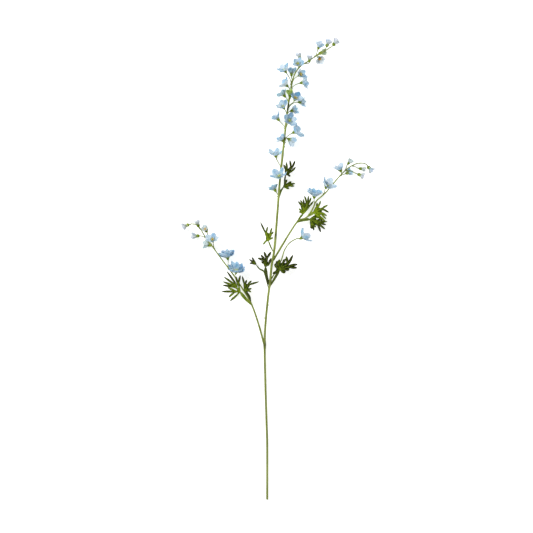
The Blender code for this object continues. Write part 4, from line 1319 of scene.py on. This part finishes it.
def leaf_outline(ribbons, webs):
    """Ribbons and webs joined into one flat net: its corners and its triangles."""
    corners, edges = [], []
    loops = [np.vstack([edge_points(ribbon, 1), edge_points(ribbon, -1)[-2::-1]]) for ribbon in ribbons]
    for loop in [*loops, *webs]:
        first, count = len(corners), len(loop)
        edges += [(first + corner, first + (corner + 1) % count) for corner in range(count)]
        corners += [Vector(point) for point in loop]
    for ribbon in ribbons:
        for share in (-0.5, 0, 0.5):
            corners += [Vector(point) for point in edge_points(ribbon, share)[1:-1]]
    flat, _, triangles, *_ = geometry.delaunay_2d_cdt(corners, edges, [], 0, MERGE, False)
    flat = np.array([tuple(corner) for corner in flat])
    triangles = np.array([tuple(triangle) for triangle in triangles])
    middles = flat[triangles].mean(axis=1)
    sides = norm(flat[triangles] - flat[np.roll(triangles, 1, axis=1)], axis=2)
    kept = np.zeros(len(triangles), bool)
    for ribbon in ribbons:
        kept |= on_ribbon(ribbon, middles)
    kept &= sides.max(axis=1) < LONGEST_EDGE
    for web in webs:
        kept |= on_web(web, middles)
    used, numbers = np.unique(triangles[kept], return_inverse=True)
    return flat[used], [tuple(int(n) for n in corners) for corners in numbers.reshape(-1, 3)]


print("Widest web, in degrees:", round(math.degrees(math.acos(WIDEST_WEB))))

# %% [markdown]
# The flat leaf is lifted to its height over the table, tilted, arched from hub to tips and folded a
# little along its ribs. Each finger curls up or down by its own small amount.

# %% Lift and fold the blades
LEAF_THICKNESS = 0.42
LEAF_ARCH, LEAF_DROOP = 4.0, 2.0
LEAF_SWAY, SWAY_PITCH = 0.5, (0.19, 0.13)
RIB_RAISED, RIB_WIDTH = 0.22, 0.45
FOLD, FOLD_WIDTH = 0.16, 2.5
PALM_LIGHT, PALM_LIGHT_REACH = 0.25, 0.8


def blade(name, leaf):
    draw = random.Random(f"{SEED} {name}")
    ribbons = leaf_ribbons(name, leaf, draw)
    flat, triangles = leaf_outline(ribbons, palm_webs(name, leaf))
    ribs = np.vstack([ribbon.line for ribbon in ribbons])
    curls = np.concatenate([ribbon.curl * ribbon.tip_share**2 for ribbon in ribbons])
    depths = np.concatenate([ribbon.depth * smoothstep(ribbon.tip_share * 3) for ribbon in ribbons])
    apart = norm(flat[:, None] - ribs[None], axis=2)
    off_rib = apart.min(axis=1)
    away = flat - np.array(leaf.hub)
    longest = norm(away, axis=1).max()
    reach = norm(away, axis=1) / longest
    height = leaf.height + away @ np.array(leaf.rise) + LEAF_ARCH * (reach - LEAF_DROOP * reach**2)
    height += LEAF_SWAY * np.sin(flat @ np.array(SWAY_PITCH))
    nearest = apart.argmin(axis=1)
    height += curls[nearest] + FOLD * np.minimum(off_rib, FOLD_WIDTH)
    near = np.exp(-(off_rib / RIB_WIDTH) ** 2)
    height += RIB_RAISED * near
    points = np.column_stack([flat, height]) + np.array(ON_TABLE)
    light = PALM_LIGHT * (1 - 2 * smoothstep(reach / PALM_LIGHT_REACH))
    depth = MAKES[name].depth - light + depths[nearest]
    mesh = net("blade", points, triangles, rib=near, depth=depth)
    mesh.materials.append(leaf_green)
    finished(thickened("blade_" + name, mesh, LEAF_THICKNESS), "leaves", "leaf_" + name, sharp=50)


for name, leaf in LEAVES.items():
    blade(name, leaf)

# %% [markdown]
# Leaf stalks are made by the same tree as the stems, pressed flat like straps. Each leaves its stem
# as a sheath does, lying close to it at first, then passes the points that the leaf gives, widens
# and runs out thin into the blade.

# %% Leaf stalks
SHEATH, SHEATH_DEPTH = 6.0, 0.3  # how far down the stem it starts, and how deep in, over its radius
STRAP_TUBE, STRAP_STEPS = (14, 2, 0.1), 6  # its sides, its ribs and how deep they are over its radius
STRAP_THICKNESS = 0.5  # over its width
STRAP_SHADES = {"left_a": 0.0, "left_b": 0.85, "right_b": 0.0, "right_c": 0.1}
STRAP_FROM_BLADE = (1.3, -0.45)  # the shade of the rest, from how dark the blade is
STRAP_ROOT_SHADE, STRAP_SHADE_FALL = 0.3, 8
STRAP_SHAPE = (  # share of the length, share of the width
    (0.0, 0.3), (0.2, 0.6), (0.4, 0.85), (0.75, 1.0), (0.88, 0.8), (1.0, 0.25))


def leaf_stalk(name, leaf):
    stem = stems[leaf.shoot]
    step = nearest_step(stem, np.array(leaf.root))
    root, along = stem.line[step], direction(stem, step)
    end = np.array([*leaf.hub, leaf.height])
    first = np.array([*leaf.passing[0], mix(root[2], end[2], 0.5)]) if leaf.passing else end
    out = (first - root) - along * (first - root).dot(along)
    out /= norm(out)
    start = root - along * SHEATH + out * stem.radius[step] * SHEATH_DEPTH
    knee = root + out * stem.radius[step]
    count = len(leaf.passing) + 1
    passing = [[*point, mix(knee[2], end[2], number / count)]
               for number, point in enumerate(leaf.passing, 1)]
    line = smooth_line([start, knee, *passing, end], STRAP_STEPS)
    share = share_along(line)
    radius = MAKES[name].stalk / 2 * np.interp(share, *zip(*STRAP_SHAPE))
    shade = STRAP_SHADES.get(name, MAKES[name].depth * STRAP_FROM_BLADE[0] + STRAP_FROM_BLADE[1])
    shade += STRAP_ROOT_SHADE * np.exp(-share * STRAP_SHADE_FALL)
    return line, radius, np.clip(shade, 0, 1)


straps = [leaf_stalk(name, leaf) for name, leaf in LEAVES.items()]
finished(tubes("leaf_stalks", straps, *STRAP_TUBE, leaf_stalk_green, STRAP_THICKNESS), "leaves")

# %% [markdown]
# ## Table, light and camera
# The picture is a plant on a white ground in soft light, so a pale table lies under it. The table
# glows a little, which keeps the shadows faint.

# %% The table
TABLE_SIDE = 30.0
TABLE_GLOW = 0.55  # thins the shadows, as a lit table does
PAPER_SCALE = 300  # patches to a metre
WHITE = (1, 1, 1, 1)


def table():
    half = TABLE_SIDE / 2
    corners = [(-half, -half, 0), (half, -half, 0), (half, half, 0), (-half, half, 0)]
    mesh = bpy.data.meshes.new("table")
    mesh.from_pydata(corners, [], [(0, 1, 2, 3)])
    finish, sheet, shader = new_finish("table_white")
    paper = speckle(sheet, PAPER_SCALE)
    tint = blend(sheet, paper, screen(246, 246, 246), screen(250, 250, 250))
    paint(sheet, shader, tint, paper, (0.85, 0.95))
    shader.inputs["Emission Color"].default_value = WHITE
    shader.inputs["Emission Strength"].default_value = TABLE_GLOW
    mesh.materials.append(finish)
    piece = new_object("table", mesh)


table()
print("The table is", TABLE_SIDE, "m wide")

# %% [markdown]
# One broad light stands up to the left, a weaker one stands opposite, and a white sky fills the rest.

# %% Light
SKY_STRENGTH = 0.4


def lamp(name, place, size, power):
    light = bpy.data.lights.new(name, "AREA")
    light.energy = power
    light.size = size
    made = bpy.data.objects.new(name, light)
    made.location = place
    made.rotation_euler = Vector(place).to_track_quat("Z", "Y").to_euler()
    made.visible_camera = False
    bpy.context.scene.collection.objects.link(made)


world = bpy.data.worlds.new("studio")
world.use_nodes = True
world.node_tree.nodes["Background"].inputs["Color"].default_value = WHITE
world.node_tree.nodes["Background"].inputs["Strength"].default_value = SKY_STRENGTH
bpy.context.scene.world = world
lamp("broad_light", (-1.6, 1.2, 2.6), 1.4, 66)
lamp("fill_light", (1.8, -1.0, 2.2), 2.0, 16)
print("Lamps:", [light.name for light in bpy.data.lights])

# %% [markdown]
# The plant was photographed square on, so the camera looks straight down through a long lens. Its
# distance follows from how much of the plant the photo's width takes in.

# %% The camera
LENS, FILM = 200.0, 36.0
PHOTO_WIDTH = 1172.6  # what the picture's width takes in at the plant, in millimetres
PHOTO_CENTRE = (-1.5, 514.1)  # from the cut end, in millimetres
PLANT_HEIGHT = 20.0

camera = bpy.data.cameras.new("camera")
camera.lens = LENS
camera.sensor_width = FILM
viewpoint = bpy.data.objects.new("camera", camera)
distance = PHOTO_WIDTH * LENS / FILM
viewpoint.location = (ON_TABLE + Vector((*PHOTO_CENTRE, distance + PLANT_HEIGHT))) * MM
camera.clip_start, camera.clip_end = 0.1, 100
bpy.context.scene.collection.objects.link(viewpoint)
bpy.context.scene.camera = viewpoint
bpy.context.scene.view_settings.view_transform = "Standard"
print("The camera stands", round(distance * MM, 2), "m over the plant")

# %% [markdown]
# ## Clearing up
# The helper cups go.

# %% Finish
bpy.data.objects.remove(open_cup)
bpy.data.objects.remove(bud_cup)
